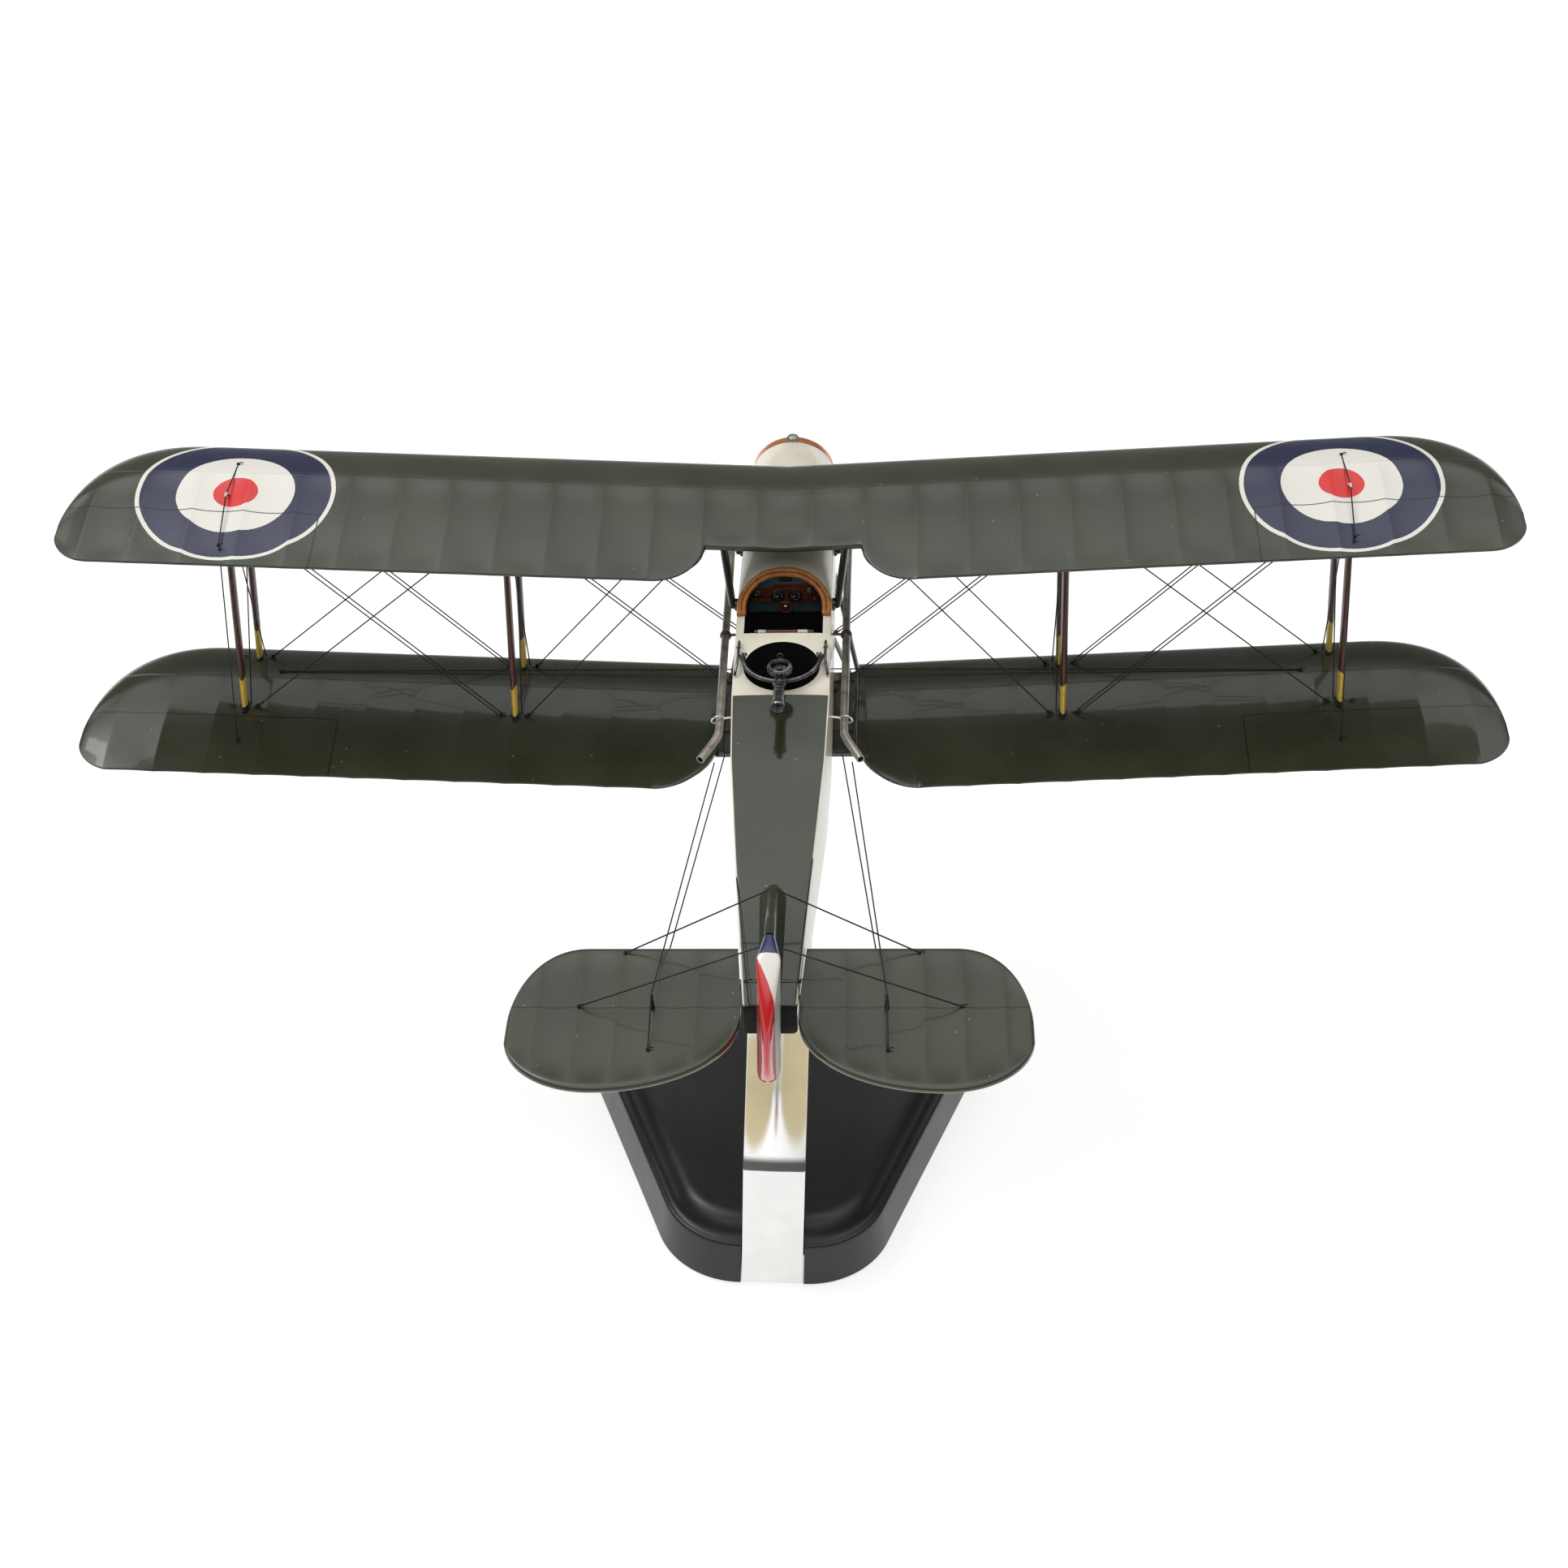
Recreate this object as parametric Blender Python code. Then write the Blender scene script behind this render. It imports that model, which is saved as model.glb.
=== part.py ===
"""A two-bay, two-seat biplane display model on a bent aluminium strip and a moulded black base.

Lengths are in millimetres until they reach a mesh, where MM turns them into metres.
The aircraft is drawn level in its own frame: +X starboard, +Y towards the nose, +Z up, with
y = 0 at the upper wing's leading edge and z = 0 on the fuselage belly. The stand's frame is the
world: z = 0 on the base's underside.
"""

import math

import bmesh
import bpy
from mathutils import Matrix, Vector

MM = 0.001
GAP = 0.3  # between separate pieces
SIDE_NAMES = {1: "right", -1: "left"}

# The aircraft on its stand
AIRCRAFT_Y = 110.0
AIRCRAFT_Z = 168.0
AIRCRAFT_ROLL = 2.4  # degrees, starboard wing up

# Wings
CHORD = 68.3
UPPER_HALF_SPAN = 249.0
LOWER_HALF_SPAN = 250.3
DIHEDRAL = math.radians(2.94)
INCIDENCE = math.radians(1.42)
WING_GAP = 73.0
STAGGER = 23.1
UPPER_WING_Z = 60.0
TIP_ROUNDING = 44.5  # length of the leading-edge curve along the span
TIP_WIDEST = 54.0  # aft of the leading edge
TIP_CORNER = 14.0
CENTRE_CUT_HALF = 27.0
CENTRE_CUT_Y = 50.5
LOWER_ROOT_X = 25.0
LOWER_ROOT_CORNER = 22.0
CENTRE_PLATE_X = 15.5  # inner edge of the centre frame's side plates
AIRFOIL_STEPS = (0.0, 0.02, 0.06, 0.14, 0.26, 0.42, 0.6, 0.8, 1.0)
CAMBER_PEAK = 0.064
TRAILING_EDGE = 0.007

# Struts, measured aft of a wing's leading edge
STRUT_X = {"inner": 97.5, "outer": 194.2}
STRUT_AFT = {"front": 7.9, "rear": 36.7}
STRUT_CHORD = 4.6
STRUT_THICK = 2.4
WIRE_RADIUS = 0.2
WIRE_PAIR = 2.8  # between the two wires of a pair
WIRE_PLATE = 0.45  # radius of the small bar that a pair ends on
WIRE_FOOT_SHIFT = 5.2  # along the span, from a strut's foot to a wire
WIRE_HEAD_SHIFT = 2.2
ROOT_FOOT_X = 17.2  # flying wires end on the fuselage's sides
ROOT_FOOT = {"front": (-25.6, 7.0), "rear": (-55.6, 3.6)}
ROOT_HEAD_X = 24.4

# Fuselage: distance along y, half width, belly, shoulder and crown heights
FUSELAGE_SECTIONS = (
    (50.0, 14.6, 5.0, 25.0, 39.4),
    (36.0, 15.8, 2.0, 28.0, 43.5),
    (16.0, 16.3, 0.3, 31.0, 46.5),
    (-10.0, 16.3, 0.0, 35.0, 48.5),
    (-43.5, 16.3, 0.0, 39.5, 50.0),
    (-52.0, 16.3, 0.0, 41.0, 45.5),
    (-61.0, 16.3, 0.3, 41.0, 41.6),
    (-103.0, 16.3, 1.5, 40.0, 40.5),
    (-133.0, 15.4, 3.0, 38.0, 38.5),
    (-180.0, 12.0, 6.0, 31.0, 31.5),
    (-228.0, 8.2, 9.5, 21.0, 21.5),
)
THRUST_Z = 18.0
EXHAUST_RADIUS = 1.4
NOSE_Y = 50.0
COCKPIT_HALF = 13.5
COCKPIT_DEPTH = 11.0  # of the rounded front
COCKPIT_SIDE = -58.0  # where the sides turn straight
COCKPIT_REAR = -70.5
COCKPIT_FLOOR = 14.0
COAMING_END = -61.0
PANEL_Y = -49.6  # the instrument panel's rear face
GUNNER_Y = -88.2
GUNNER_RADIUS = 12.9
GUNNER_FLOOR = 16.0

# Gun, hoop and brackets
HOOP_RADIUS = 13.0
HOOP_TUBE = 0.75
HOOP_AXIS_Y = -86.6
HOOP_AXIS_Z = 43.4
BRACKET_X = 14.6
GUN_Y = -101.2
GUN_Z = 47.6
GUN_RISE = math.radians(7.0)
PINTLE_Y = HOOP_AXIS_Y - HOOP_RADIUS

# Propeller
PROP_RADIUS = 61.5
PROP_Y = 59.0
BLADE_HALF_WIDTHS = (2.8, 4.6)  # at the hub, and at the widest
BLADE_SHARES = (0.03, 0.1, 0.2, 0.35, 0.5, 0.65, 0.8, 0.9, 0.96, 0.995)
BLADE_SECTION = (
    (1.0, 0.0),
    (0.6, 0.8),
    (-0.1, 1.0),
    (-0.75, 0.6),
    (-1.0, 0.0),
    (-0.75, -0.3),
    (-0.1, -0.45),
    (0.6, -0.3),
)
SHAFT_RADIUS = 1.3

# Landing gear
AXLE_Y = -1.0
AXLE_Z = -48.5
WHEEL_X = 36.0
WHEEL_RADIUS = 15.0
TYRE_RADIUS = 2.3
TYRE_SIDES = 8
TYRE_STEPS = 24
AXLE_RADIUS = 1.0
AXLE_HALF = 39.4

# Tail
TAIL_LE_Y = -202.8
TAIL_Z = 20.0
TAIL_HALF = 79.0
TAIL_WIDEST_Y = -240.4
TAIL_TE_Y = -261.6
TAIL_POST_X = 8.9
HINGE_Y = -228.5
FIN_TOP = 52.0
FIN_THICK = 2.4

# Stand
BASE_HEIGHT = 25.0
BASE_REAR_Y = -74.0
BASE_FRONT_Y = 64.0
BASE_SIDE_SLOPE = 0.40  # widening of each side per length
BASE_REAR_RADIUS = 32.0
BASE_REAR_CENTRE_X = 12.0
BASE_CORNER = 30.0
BASE_LEVELS = (  # height, and how far the outline is drawn in
    (0.0, 0.8),
    (0.8, 0.0),
    (18.2, 2.2),
    (19.0, 3.2),
    (21.0, 7.0),
    (24.0, 10.6),
    (25.0, 12.0),
)
STRIP_WIDTH = 22.0
STRIP_THICK = 2.4
STRIP_LEAN = math.radians(12.0)
STRIP_CLIMB = math.radians(38.0)
STRIP_HEEL = 3.0
STRIP_BEND = 12.0
STRIP_TOP_BEND = 10.0
STRIP_BEHIND_BASE = 1.0
STRIP_UPRIGHT = 48.6  # height of the bend above the base's underside
FOOT_LENGTH = 34.0
SLOT_CLEARANCE = 1.2
PAD_LENGTH = 22.0
PAD_DROP = 0.65  # from the belly to the pad, which is level while the belly is rolled
FOOT_SCREW_YS = (-60.0, -48.0)
SCREW_HOLE = 1.6
BELLY_HOLE = 1.9

COLOURS = {
    "olive": ((0.045, 0.055, 0.030), 0.18, 0.0),
    "cream": ((0.70, 0.66, 0.54), 0.35, 0.0),
    "mahogany": ((0.10, 0.025, 0.015), 0.3, 0.0),
    "black_thread": ((0.01, 0.01, 0.01), 0.7, 0.0),
    "aluminium": ((0.85, 0.85, 0.84), 0.12, 1.0),
    "gunmetal": ((0.25, 0.25, 0.25), 0.35, 1.0),
    "exhaust": ((0.50, 0.46, 0.40), 0.35, 0.8),
    "leather": ((0.42, 0.14, 0.02), 0.5, 0.0),
    "copper": ((0.60, 0.25, 0.08), 0.3, 0.6),
    "rubber": ((0.35, 0.34, 0.32), 0.7, 0.0),
    "base_black": ((0.012, 0.012, 0.013), 0.35, 0.0),
    "panel": ((0.10, 0.17, 0.20), 0.5, 0.0),
    "rudder_paint": ((0.75, 0.72, 0.62), 0.25, 0.0),
    "brass": ((0.60, 0.45, 0.18), 0.3, 1.0),
}


# ---------------------------------------------------------------- scene helpers


def clear_scene():
    for obj in list(bpy.data.objects):
        bpy.data.objects.remove(obj, do_unlink=True)


def make_materials():
    made = {}
    for name, (colour, roughness, metallic) in COLOURS.items():
        material = bpy.data.materials.new(name)
        material.use_nodes = True
        shader = material.node_tree.nodes["Principled BSDF"]
        shader.inputs["Base Color"].default_value = (*colour, 1.0)
        shader.inputs["Roughness"].default_value = roughness
        shader.inputs["Metallic"].default_value = metallic
        made[name] = material
    return made


def make_empty(name, location, turn_y=0.0):
    empty = bpy.data.objects.new(name, None)
    empty.location = Vector(location) * MM
    empty.rotation_euler = (0.0, turn_y, 0.0)
    bpy.context.scene.collection.objects.link(empty)
    return empty


def add_object(name, mesh, colour, parent=None, origin=(0.0, 0.0, 0.0)):
    obj = bpy.data.objects.new(name, mesh)
    obj.location = Vector(origin) * MM
    obj.parent = parent
    mesh.materials.append(MATERIALS[colour])
    mesh.shade_smooth()
    mesh.set_sharp_from_angle(angle=math.radians(35.0))
    bpy.context.scene.collection.objects.link(obj)
    return obj


def mesh_from_bmesh(name, bm, origin=(0.0, 0.0, 0.0)):
    """A mesh in metres from millimetres, with its faces pointing out and its points about origin."""
    bmesh.ops.recalc_face_normals(bm, faces=bm.faces[:])
    if bm.calc_volume(signed=True) < 0:
        bmesh.ops.reverse_faces(bm, faces=bm.faces[:])
    to_metres = Matrix.Scale(MM, 4) @ Matrix.Translation(-Vector(origin))
    bmesh.ops.transform(bm, matrix=to_metres, verts=bm.verts[:])
    mesh = bpy.data.meshes.new(name)
    bm.to_mesh(mesh)
    bm.free()
    return mesh


def loft(rings):
    """One closed body through rings of equal length, with a face over each end."""
    bm = bmesh.new()
    rows = [[bm.verts.new(point) for point in ring] for ring in rings]
    count = len(rows[0])
    for row, following in zip(rows, rows[1:]):
        for i in range(count):
            j = (i + 1) % count
            bm.faces.new((row[i], row[j], following[j], following[i]))
    bm.faces.new(rows[0][::-1])
    bm.faces.new(rows[-1])
    return bm


def circle(centre, radius, sides, axis):
    """Points round a circle about an axis, x, y or z."""
    points = []
    for i in range(sides):
        angle = 2.0 * math.pi * i / sides
        across, up = radius * math.cos(angle), radius * math.sin(angle)
        offset = {"x": (0.0, across, up), "y": (up, 0.0, across), "z": (across, up, 0.0)}[axis]
        points.append(Vector(centre) + Vector(offset))
    return points


def turned(centre, profile, axis, sides=24):
    """A turned solid: profile is (distance along the axis, radius), from one end to the other."""
    along = Vector({"x": (1.0, 0.0, 0.0), "y": (0.0, 1.0, 0.0), "z": (0.0, 0.0, 1.0)}[axis])
    return loft([circle(Vector(centre) + along * place, radius, sides, axis) for place, radius in profile])


def rod(start, end, radius, sides=8, end_radius=None):
    start, end = Vector(start), Vector(end)
    turn = Vector((0.0, 0.0, 1.0)).rotation_difference(end - start)
    rings = []
    for centre, size in ((start, radius), (end, end_radius or radius)):
        rings.append([centre + turn @ point for point in circle((0, 0, 0), size, sides, "z")])
    return loft(rings)


def plate(outline, low, high, axis="z"):
    """A flat outline of (a, b) points made solid from low to high along an axis."""

    def place(a, b, level):
        return {"x": (level, a, b), "y": (a, level, b), "z": (a, b, level)}[axis]

    return loft([[Vector(place(a, b, level)) for a, b in outline] for level in (low, high)])


def block(low, high):
    outline = ((low[0], low[1]), (high[0], low[1]), (high[0], high[1]), (low[0], high[1]))
    return plate(outline, low[2], high[2])


def tube(points, radius, sides=8):
    """A bent round bar along a list of points, with flat ends."""
    points = [Vector(point) for point in points]
    rings = []
    turn = None
    previous = None
    for i, point in enumerate(points):
        ahead = points[min(i + 1, len(points) - 1)] - points[max(i - 1, 0)]
        direction = ahead.normalized()
        if turn is None:
            turn = Vector((0.0, 0.0, 1.0)).rotation_difference(direction)
        else:
            turn = previous.rotation_difference(direction) @ turn
        previous = direction
        rings.append([point + turn @ offset for offset in circle((0, 0, 0), radius, sides, "z")])
    return loft(rings)


def arc(centre, radius, start, end, steps):
    """Points of an arc in a plane, with angles in radians."""
    points = []
    for i in range(steps + 1):
        angle = start + (end - start) * i / steps
        points.append((centre[0] + radius * math.cos(angle), centre[1] + radius * math.sin(angle)))
    return points


def helper(name, bm, parent):
    """A hidden mesh that a Boolean reads."""
    obj = bpy.data.objects.new(name, mesh_from_bmesh(name, bm))
    obj.parent = parent
    obj.hide_render = True
    obj.display_type = "WIRE"
    bpy.context.scene.collection.objects.link(obj)
    return obj


def combine(obj, shapes, parent, operation):
    """Joins or cuts every shape, each through a hidden helper of its own."""
    for i, bm in enumerate(shapes):
        modifier = obj.modifiers.new(f"{operation.lower()}_{i}", "BOOLEAN")
        modifier.operation = operation
        modifier.object = helper(f"{obj.name}_{operation.lower()}_{i}", bm, parent)


def solid(name, bm, colour, parent=None, origin=(0.0, 0.0, 0.0), joins=(), cuts=()):
    """One named piece, with other shapes joined to it or cut from it."""
    obj = add_object(name, mesh_from_bmesh(name, bm, origin), colour, parent, origin)
    combine(obj, joins, parent, "UNION")
    combine(obj, cuts, parent, "DIFFERENCE")
    return obj


# ---------------------------------------------------------------- wings


def chord_plane(x, aft, level):
    """Height of a wing's chord at x, this far aft of its leading edge."""
    return level + abs(x) * math.tan(DIHEDRAL) + (CHORD - aft) * math.sin(INCIDENCE)


def upper_surface(t):
    """Height of the upper skin above the chord, as a share of the chord."""
    rise = 2.6 * math.sqrt(t) * (1.0 - t) if t < 1.0 else 0.0
    return min(CAMBER_PEAK, CAMBER_PEAK * rise) * (1.0 - 0.12 * t) + 0.5 * TRAILING_EDGE


def lower_surface(t):
    """Height of the lower skin above the chord, as a share of the chord: hollow ahead, then flat."""
    hollow = 0.011 * math.sin(math.pi * min(1.0, 2.2 * t))
    return -hollow - 0.5 * TRAILING_EDGE


def rounded(distance, length, power=2.4):
    """How far a rounded edge has fallen back, from 0 to 1, at this distance along its length."""
    share = min(max(distance / length, 0.0), 1.0)
    return 1.0 - (1.0 - share**power) ** (1.0 / power)


def wing_edges(x, half_span):
    """Leading and trailing edge of a wing at x, aft of its leading edge, without the inner cut-outs."""
    front = TIP_WIDEST * rounded(abs(x) - (half_span - TIP_ROUNDING), TIP_ROUNDING)
    back = CHORD - (CHORD - TIP_WIDEST) * rounded(abs(x) - (half_span - TIP_CORNER), TIP_CORNER, 2.0)
    return front, back


def upper_cut(x):
    """Trailing edge of the upper wing's centre cut-out at x."""
    if abs(x) <= CENTRE_CUT_HALF:
        return CENTRE_CUT_Y
    share = min((abs(x) - CENTRE_CUT_HALF) / 19.0, 1.0)
    return CENTRE_CUT_Y + (CHORD - CENTRE_CUT_Y) * math.sqrt(1.0 - (1.0 - share) ** 2)


def lower_cut(x):
    """Trailing edge of a lower wing's rounded root at x."""
    share = min(max((abs(x) - LOWER_ROOT_X) / LOWER_ROOT_CORNER, 0.0), 1.0)
    corner = (1.0 - (1.0 - share) ** 1.8) ** (1.0 / 1.8)
    return CHORD - LOWER_ROOT_CORNER * (1.0 - corner)


def wing_section(x, half_span, level, edge_y, cut):
    front, back = wing_edges(x, half_span)
    local = back - front
    last = min((cut(x) - front) / local, 1.0)
    ring = []
    for t in AIRFOIL_STEPS:
        aft = front + t * last * local
        height = chord_plane(x, aft, level) + local * upper_surface(t * last)
        ring.append((x, edge_y - aft, height))
    for t in reversed(AIRFOIL_STEPS[1:]):
        aft = front + t * last * local
        height = chord_plane(x, aft, level) + local * lower_surface(t * last)
        ring.append((x, edge_y - aft, height))
    return ring


def tip_stations(half_span):
    start = half_span - TIP_ROUNDING
    reach = TIP_ROUNDING - 0.25
    return [start + reach * math.sin(math.radians(angle)) for angle in (0, 20, 38, 54, 67, 78, 90)]


def upper_wing(parent):
    inner = [27.0, 27.6, 29.0, 32.0, 37.0, 46.0, 97.5, 150.0]
    right = inner + tip_stations(UPPER_HALF_SPAN)
    stations = [-x for x in reversed(right)] + [0.0] + right
    rings = [wing_section(x, UPPER_HALF_SPAN, UPPER_WING_Z, 0.0, upper_cut) for x in stations]
    solid("upper_wing", loft(rings), "olive", parent)


def lower_wing(side, parent):
    inner = [25.0, 25.6, 27.5, 32.0, 39.0, 47.0, 97.5, 150.0]
    stations = inner + tip_stations(LOWER_HALF_SPAN)
    level = UPPER_WING_Z - WING_GAP
    rings = [wing_section(side * x, LOWER_HALF_SPAN, level, -STAGGER, lower_cut) for x in stations]
    solid("lower_wing_" + SIDE_NAMES[side], loft(rings), "olive", parent)


def upper_underside(x, aft):
    return chord_plane(x, aft, UPPER_WING_Z) + CHORD * lower_surface(aft / CHORD)


def lower_top(x, aft):
    return chord_plane(x, aft, UPPER_WING_Z - WING_GAP) + CHORD * upper_surface(aft / CHORD)


def strut_ends(side, bay, row):
    """Foot on the lower wing and head under the upper wing."""
    x, aft = STRUT_X[bay], STRUT_AFT[row]
    foot = Vector((side * x, -STAGGER - aft, lower_top(x, aft)))
    head = Vector((side * x, -aft, upper_underside(x, aft)))
    return foot, head


def lens(length, width):
    """A streamlined section of 8 points, long fore and aft."""
    half, side = 0.5 * length, 0.5 * width
    return (
        (0.0, half),
        (0.7 * side, 0.62 * half),
        (side, 0.1 * half),
        (0.6 * side, -0.6 * half),
        (0.0, -half),
        (-0.6 * side, -0.6 * half),
        (-side, 0.1 * half),
        (-0.7 * side, 0.62 * half),
    )


def streamlined(foot, head, length, width):
    rings = []
    for end in (foot, head):
        rings.append([(end.x + a, end.y + b, end.z) for a, b in lens(length, width)])
    return loft(rings)


def interplane_struts(side, parent):
    for bay in STRUT_X:
        for row in STRUT_AFT:
            foot, head = strut_ends(side, bay, row)
            foot.z += 0.9
            head.z -= 0.7
            name = f"strut_{bay}_{row}_{SIDE_NAMES[side]}"
            solid(name, streamlined(foot, head, STRUT_CHORD, STRUT_THICK), "mahogany", parent)


# ---------------------------------------------------------------- rigging


def anchor(side, bay, row, end, outboard):
    """Where a wire ends beside a strut, on its outboard or inboard side."""
    foot, head = strut_ends(side, bay, row)
    if end == "foot":
        return foot + Vector((side * outboard * WIRE_FOOT_SHIFT, 0.0, 1.0))
    return head + Vector((side * outboard * WIRE_HEAD_SHIFT, 0.0, -0.9))


def root_anchor(side, row, end):
    """Where the inner bay's wires end: low on the fuselage's side, and beside the frame's head."""
    if end == "foot":
        y, z = ROOT_FOOT[row]
        return Vector((side * ROOT_FOOT_X, y, z))
    aft = STRUT_AFT[row]
    return Vector((side * ROOT_HEAD_X, -aft, upper_underside(ROOT_HEAD_X, aft) - 0.9))


def wire(start, end):
    return rod(start, end, WIRE_RADIUS, 6)


def cross_bar(centre, reach, radius):
    """A small bar fore and aft through a point."""
    half = Vector((0.0, reach, 0.0))
    return rod(centre - half, centre + half, radius, 6)


def wire_pair(start, end):
    """Two parallel wires, one ahead of the other, and the small bars that they share at both ends."""
    shift = Vector((0.0, 0.5 * WIRE_PAIR, 0.0))
    wires = [wire(start + shift, end + shift), wire(start - shift, end - shift)]
    reach = 0.5 * WIRE_PAIR + 0.3
    return wires + [cross_bar(start, reach, WIRE_PLATE), cross_bar(end, reach, WIRE_PLATE)]


def crossing(first, second):
    """Points of two lines, each a (start, end), where they cross as seen along the fuselage."""
    a, b = first[1] - first[0], second[1] - second[0]
    gap = second[0] - first[0]
    turn = a.x * b.z - a.z * b.x
    share_a = (gap.x * b.z - gap.z * b.x) / turn
    share_b = (gap.x * a.z - gap.z * a.x) / turn
    return first[0] + a * share_a, second[0] + b * share_b


def bay_wires(foot_in, head_in, foot_out, head_out):
    """Flying pair from the inner foot to the outer head, and a landing wire that crosses between them."""
    on_pair, on_single = crossing((foot_in, head_out), (head_in, foot_out))
    reach = 0.5 * WIRE_PAIR + abs(on_pair.y - on_single.y)
    bar = cross_bar(on_pair, reach, 0.35)
    return wire_pair(foot_in, head_out) + [wire(head_in, foot_out), bar]


def rigging(side, bay, parent):
    """All the wires of one bay, its two planes joined by the incidence wires at its outer struts."""
    shapes = []
    for row in STRUT_AFT:
        if bay == "inner":
            inner = [root_anchor(side, row, end) for end in ("foot", "head")]
        else:
            inner = [anchor(side, "inner", row, end, 1) for end in ("foot", "head")]
        outer = [anchor(side, bay, row, end, -1) for end in ("foot", "head")]
        shapes += bay_wires(inner[0], inner[1], outer[0], outer[1])
    front_foot, front_head = (anchor(side, bay, "front", end, -1) for end in ("foot", "head"))
    rear_foot, rear_head = (anchor(side, bay, "rear", end, -1) for end in ("foot", "head"))
    shapes += [wire(front_foot, rear_head), wire(rear_foot, front_head)]
    shapes += [cross_bar(foot, 1.5, WIRE_PLATE) for foot in (front_foot, rear_foot)]
    name = f"rigging_{bay}_{SIDE_NAMES[side]}"
    solid(name, shapes[0], "black_thread", parent, joins=shapes[1:])


# ---------------------------------------------------------------- fuselage


def fuselage_values(y):
    """Half width, belly, shoulder and crown at y."""
    rows = FUSELAGE_SECTIONS
    for ahead, behind in zip(rows, rows[1:]):
        if ahead[0] >= y >= behind[0]:
            share = (ahead[0] - y) / (ahead[0] - behind[0])
            return [a + share * (b - a) for a, b in zip(ahead[1:], behind[1:])]
    return list(rows[0][1:] if y > rows[0][0] else rows[-1][1:])


def fuselage_ring(y, half, belly, shoulder, crown):
    corner = 1.6
    right = [(half - corner, belly), (half, belly + corner), (half, shoulder)]
    for angle in (22.5, 45.0, 67.5):
        a = math.radians(angle)
        right.append((half * math.cos(a), shoulder + (crown - shoulder) * math.sin(a)))
    left = [(-x, z) for x, z in reversed(right)]
    return [(x, y, z) for x, z in right + [(0.0, crown)] + left]


def deck_height(x, y):
    half, _, shoulder, crown = fuselage_values(y)
    return shoulder + (crown - shoulder) * math.sqrt(max(1.0 - (x / half) ** 2, 0.0))


def above_deck(x, y, lift):
    """The point that is lift away from the deck, square to it."""
    step = 0.2
    slope_x = (deck_height(x + step, y) - deck_height(x - step, y)) / (2.0 * step)
    slope_y = (deck_height(x, y + step) - deck_height(x, y - step)) / (2.0 * step)
    return Vector((x, y, deck_height(x, y))) + Vector((-slope_x, -slope_y, 1.0)).normalized() * lift


def cockpit_rim(grow, steps):
    """(x, y) round the squarish front of the pilot's well, from starboard to port."""
    points = []
    for i in range(steps + 1):
        angle = math.pi * i / steps
        across = math.copysign(abs(math.cos(angle)) ** 0.75, math.cos(angle))
        ahead = math.sin(angle) ** 0.85
        points.append(((COCKPIT_HALF + grow) * across, COCKPIT_SIDE + (COCKPIT_DEPTH + grow) * ahead))
    return points


def cockpit_cutter():
    """A D-shaped well, rounded in front."""
    outline = [(-COCKPIT_HALF, COCKPIT_REAR), (COCKPIT_HALF, COCKPIT_REAR)]
    return plate(outline + cockpit_rim(0.0, 16), COCKPIT_FLOOR, 70.0)


def fuselage(parent):
    rings = [fuselage_ring(*row) for row in FUSELAGE_SECTIONS]
    depth = ((GUNNER_FLOOR, GUNNER_RADIUS), (70.0, GUNNER_RADIUS))
    gunner_well = turned((0.0, GUNNER_Y, 0.0), depth, "z", 28)
    shaft_hole = turned((0.0, 0.0, THRUST_Z), ((34.0, 2.6), (40.0, 2.6), (55.0, 2.6)), "y", 16)
    cuts = [cockpit_cutter(), gunner_well, shaft_hole]
    for y in pad_screw_ys():
        cuts.append(turned((0.0, y - AIRCRAFT_Y, 0.0), ((-5.0, BELLY_HOLE), (7.5, BELLY_HOLE)), "z", 16))
    solid("fuselage", loft(rings), "cream", parent, cuts=cuts)


def nose_ring(y, grow):
    half, belly, shoulder, crown = FUSELAGE_SECTIONS[0][1:]
    points = fuselage_ring(y, half, belly, shoulder, crown)
    middle = Vector((0.0, y, THRUST_Z))
    return [middle + (Vector(point) - middle) * grow for point in points]


def radiator(parent):
    shell = loft([nose_ring(NOSE_Y + 0.3, 1.0), nose_ring(NOSE_Y + 4.5, 0.97), nose_ring(NOSE_Y + 6.0, 0.90)])
    recess = loft([nose_ring(NOSE_Y + 2.5, 0.76), nose_ring(NOSE_Y + 8.0, 0.76)])
    bore = turned((0.0, 0.0, THRUST_Z), ((NOSE_Y - 2.0, 2.6), (NOSE_Y + 9.0, 2.6)), "y", 16)
    solid("radiator_cowl", shell, "copper", parent, cuts=[recess, bore])
    core = loft([nose_ring(NOSE_Y + 2.8, 0.73), nose_ring(NOSE_Y + 4.6, 0.73)])
    bore_radius = SHAFT_RADIUS + 0.1
    bearing = turned((0.0, 0.0, THRUST_Z), ((NOSE_Y - 2.0, bore_radius), (NOSE_Y + 9.0, bore_radius)), "y")
    solid("radiator_core", core, "gunmetal", parent, cuts=[bearing])
    cap = ((39.5, 2.0), (40.2, 2.0), (40.6, 1.6), (40.9, 1.0))
    solid("filler_cap", turned((0.0, NOSE_Y + 2.2, 0.0), cap, "z", 12), "aluminium", parent)


def coaming(parent):
    """A leather roll laid on the deck just outside the rim of the pilot's well."""
    rim = cockpit_rim(0.9, 18)
    ends = [(rim[0][0], COAMING_END), (rim[-1][0], COAMING_END)]
    points = [above_deck(x, y, 1.25) for x, y in [ends[0]] + rim + [ends[1]]]
    solid("coaming", tube(points, 0.9, 8), "leather", parent)


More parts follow.
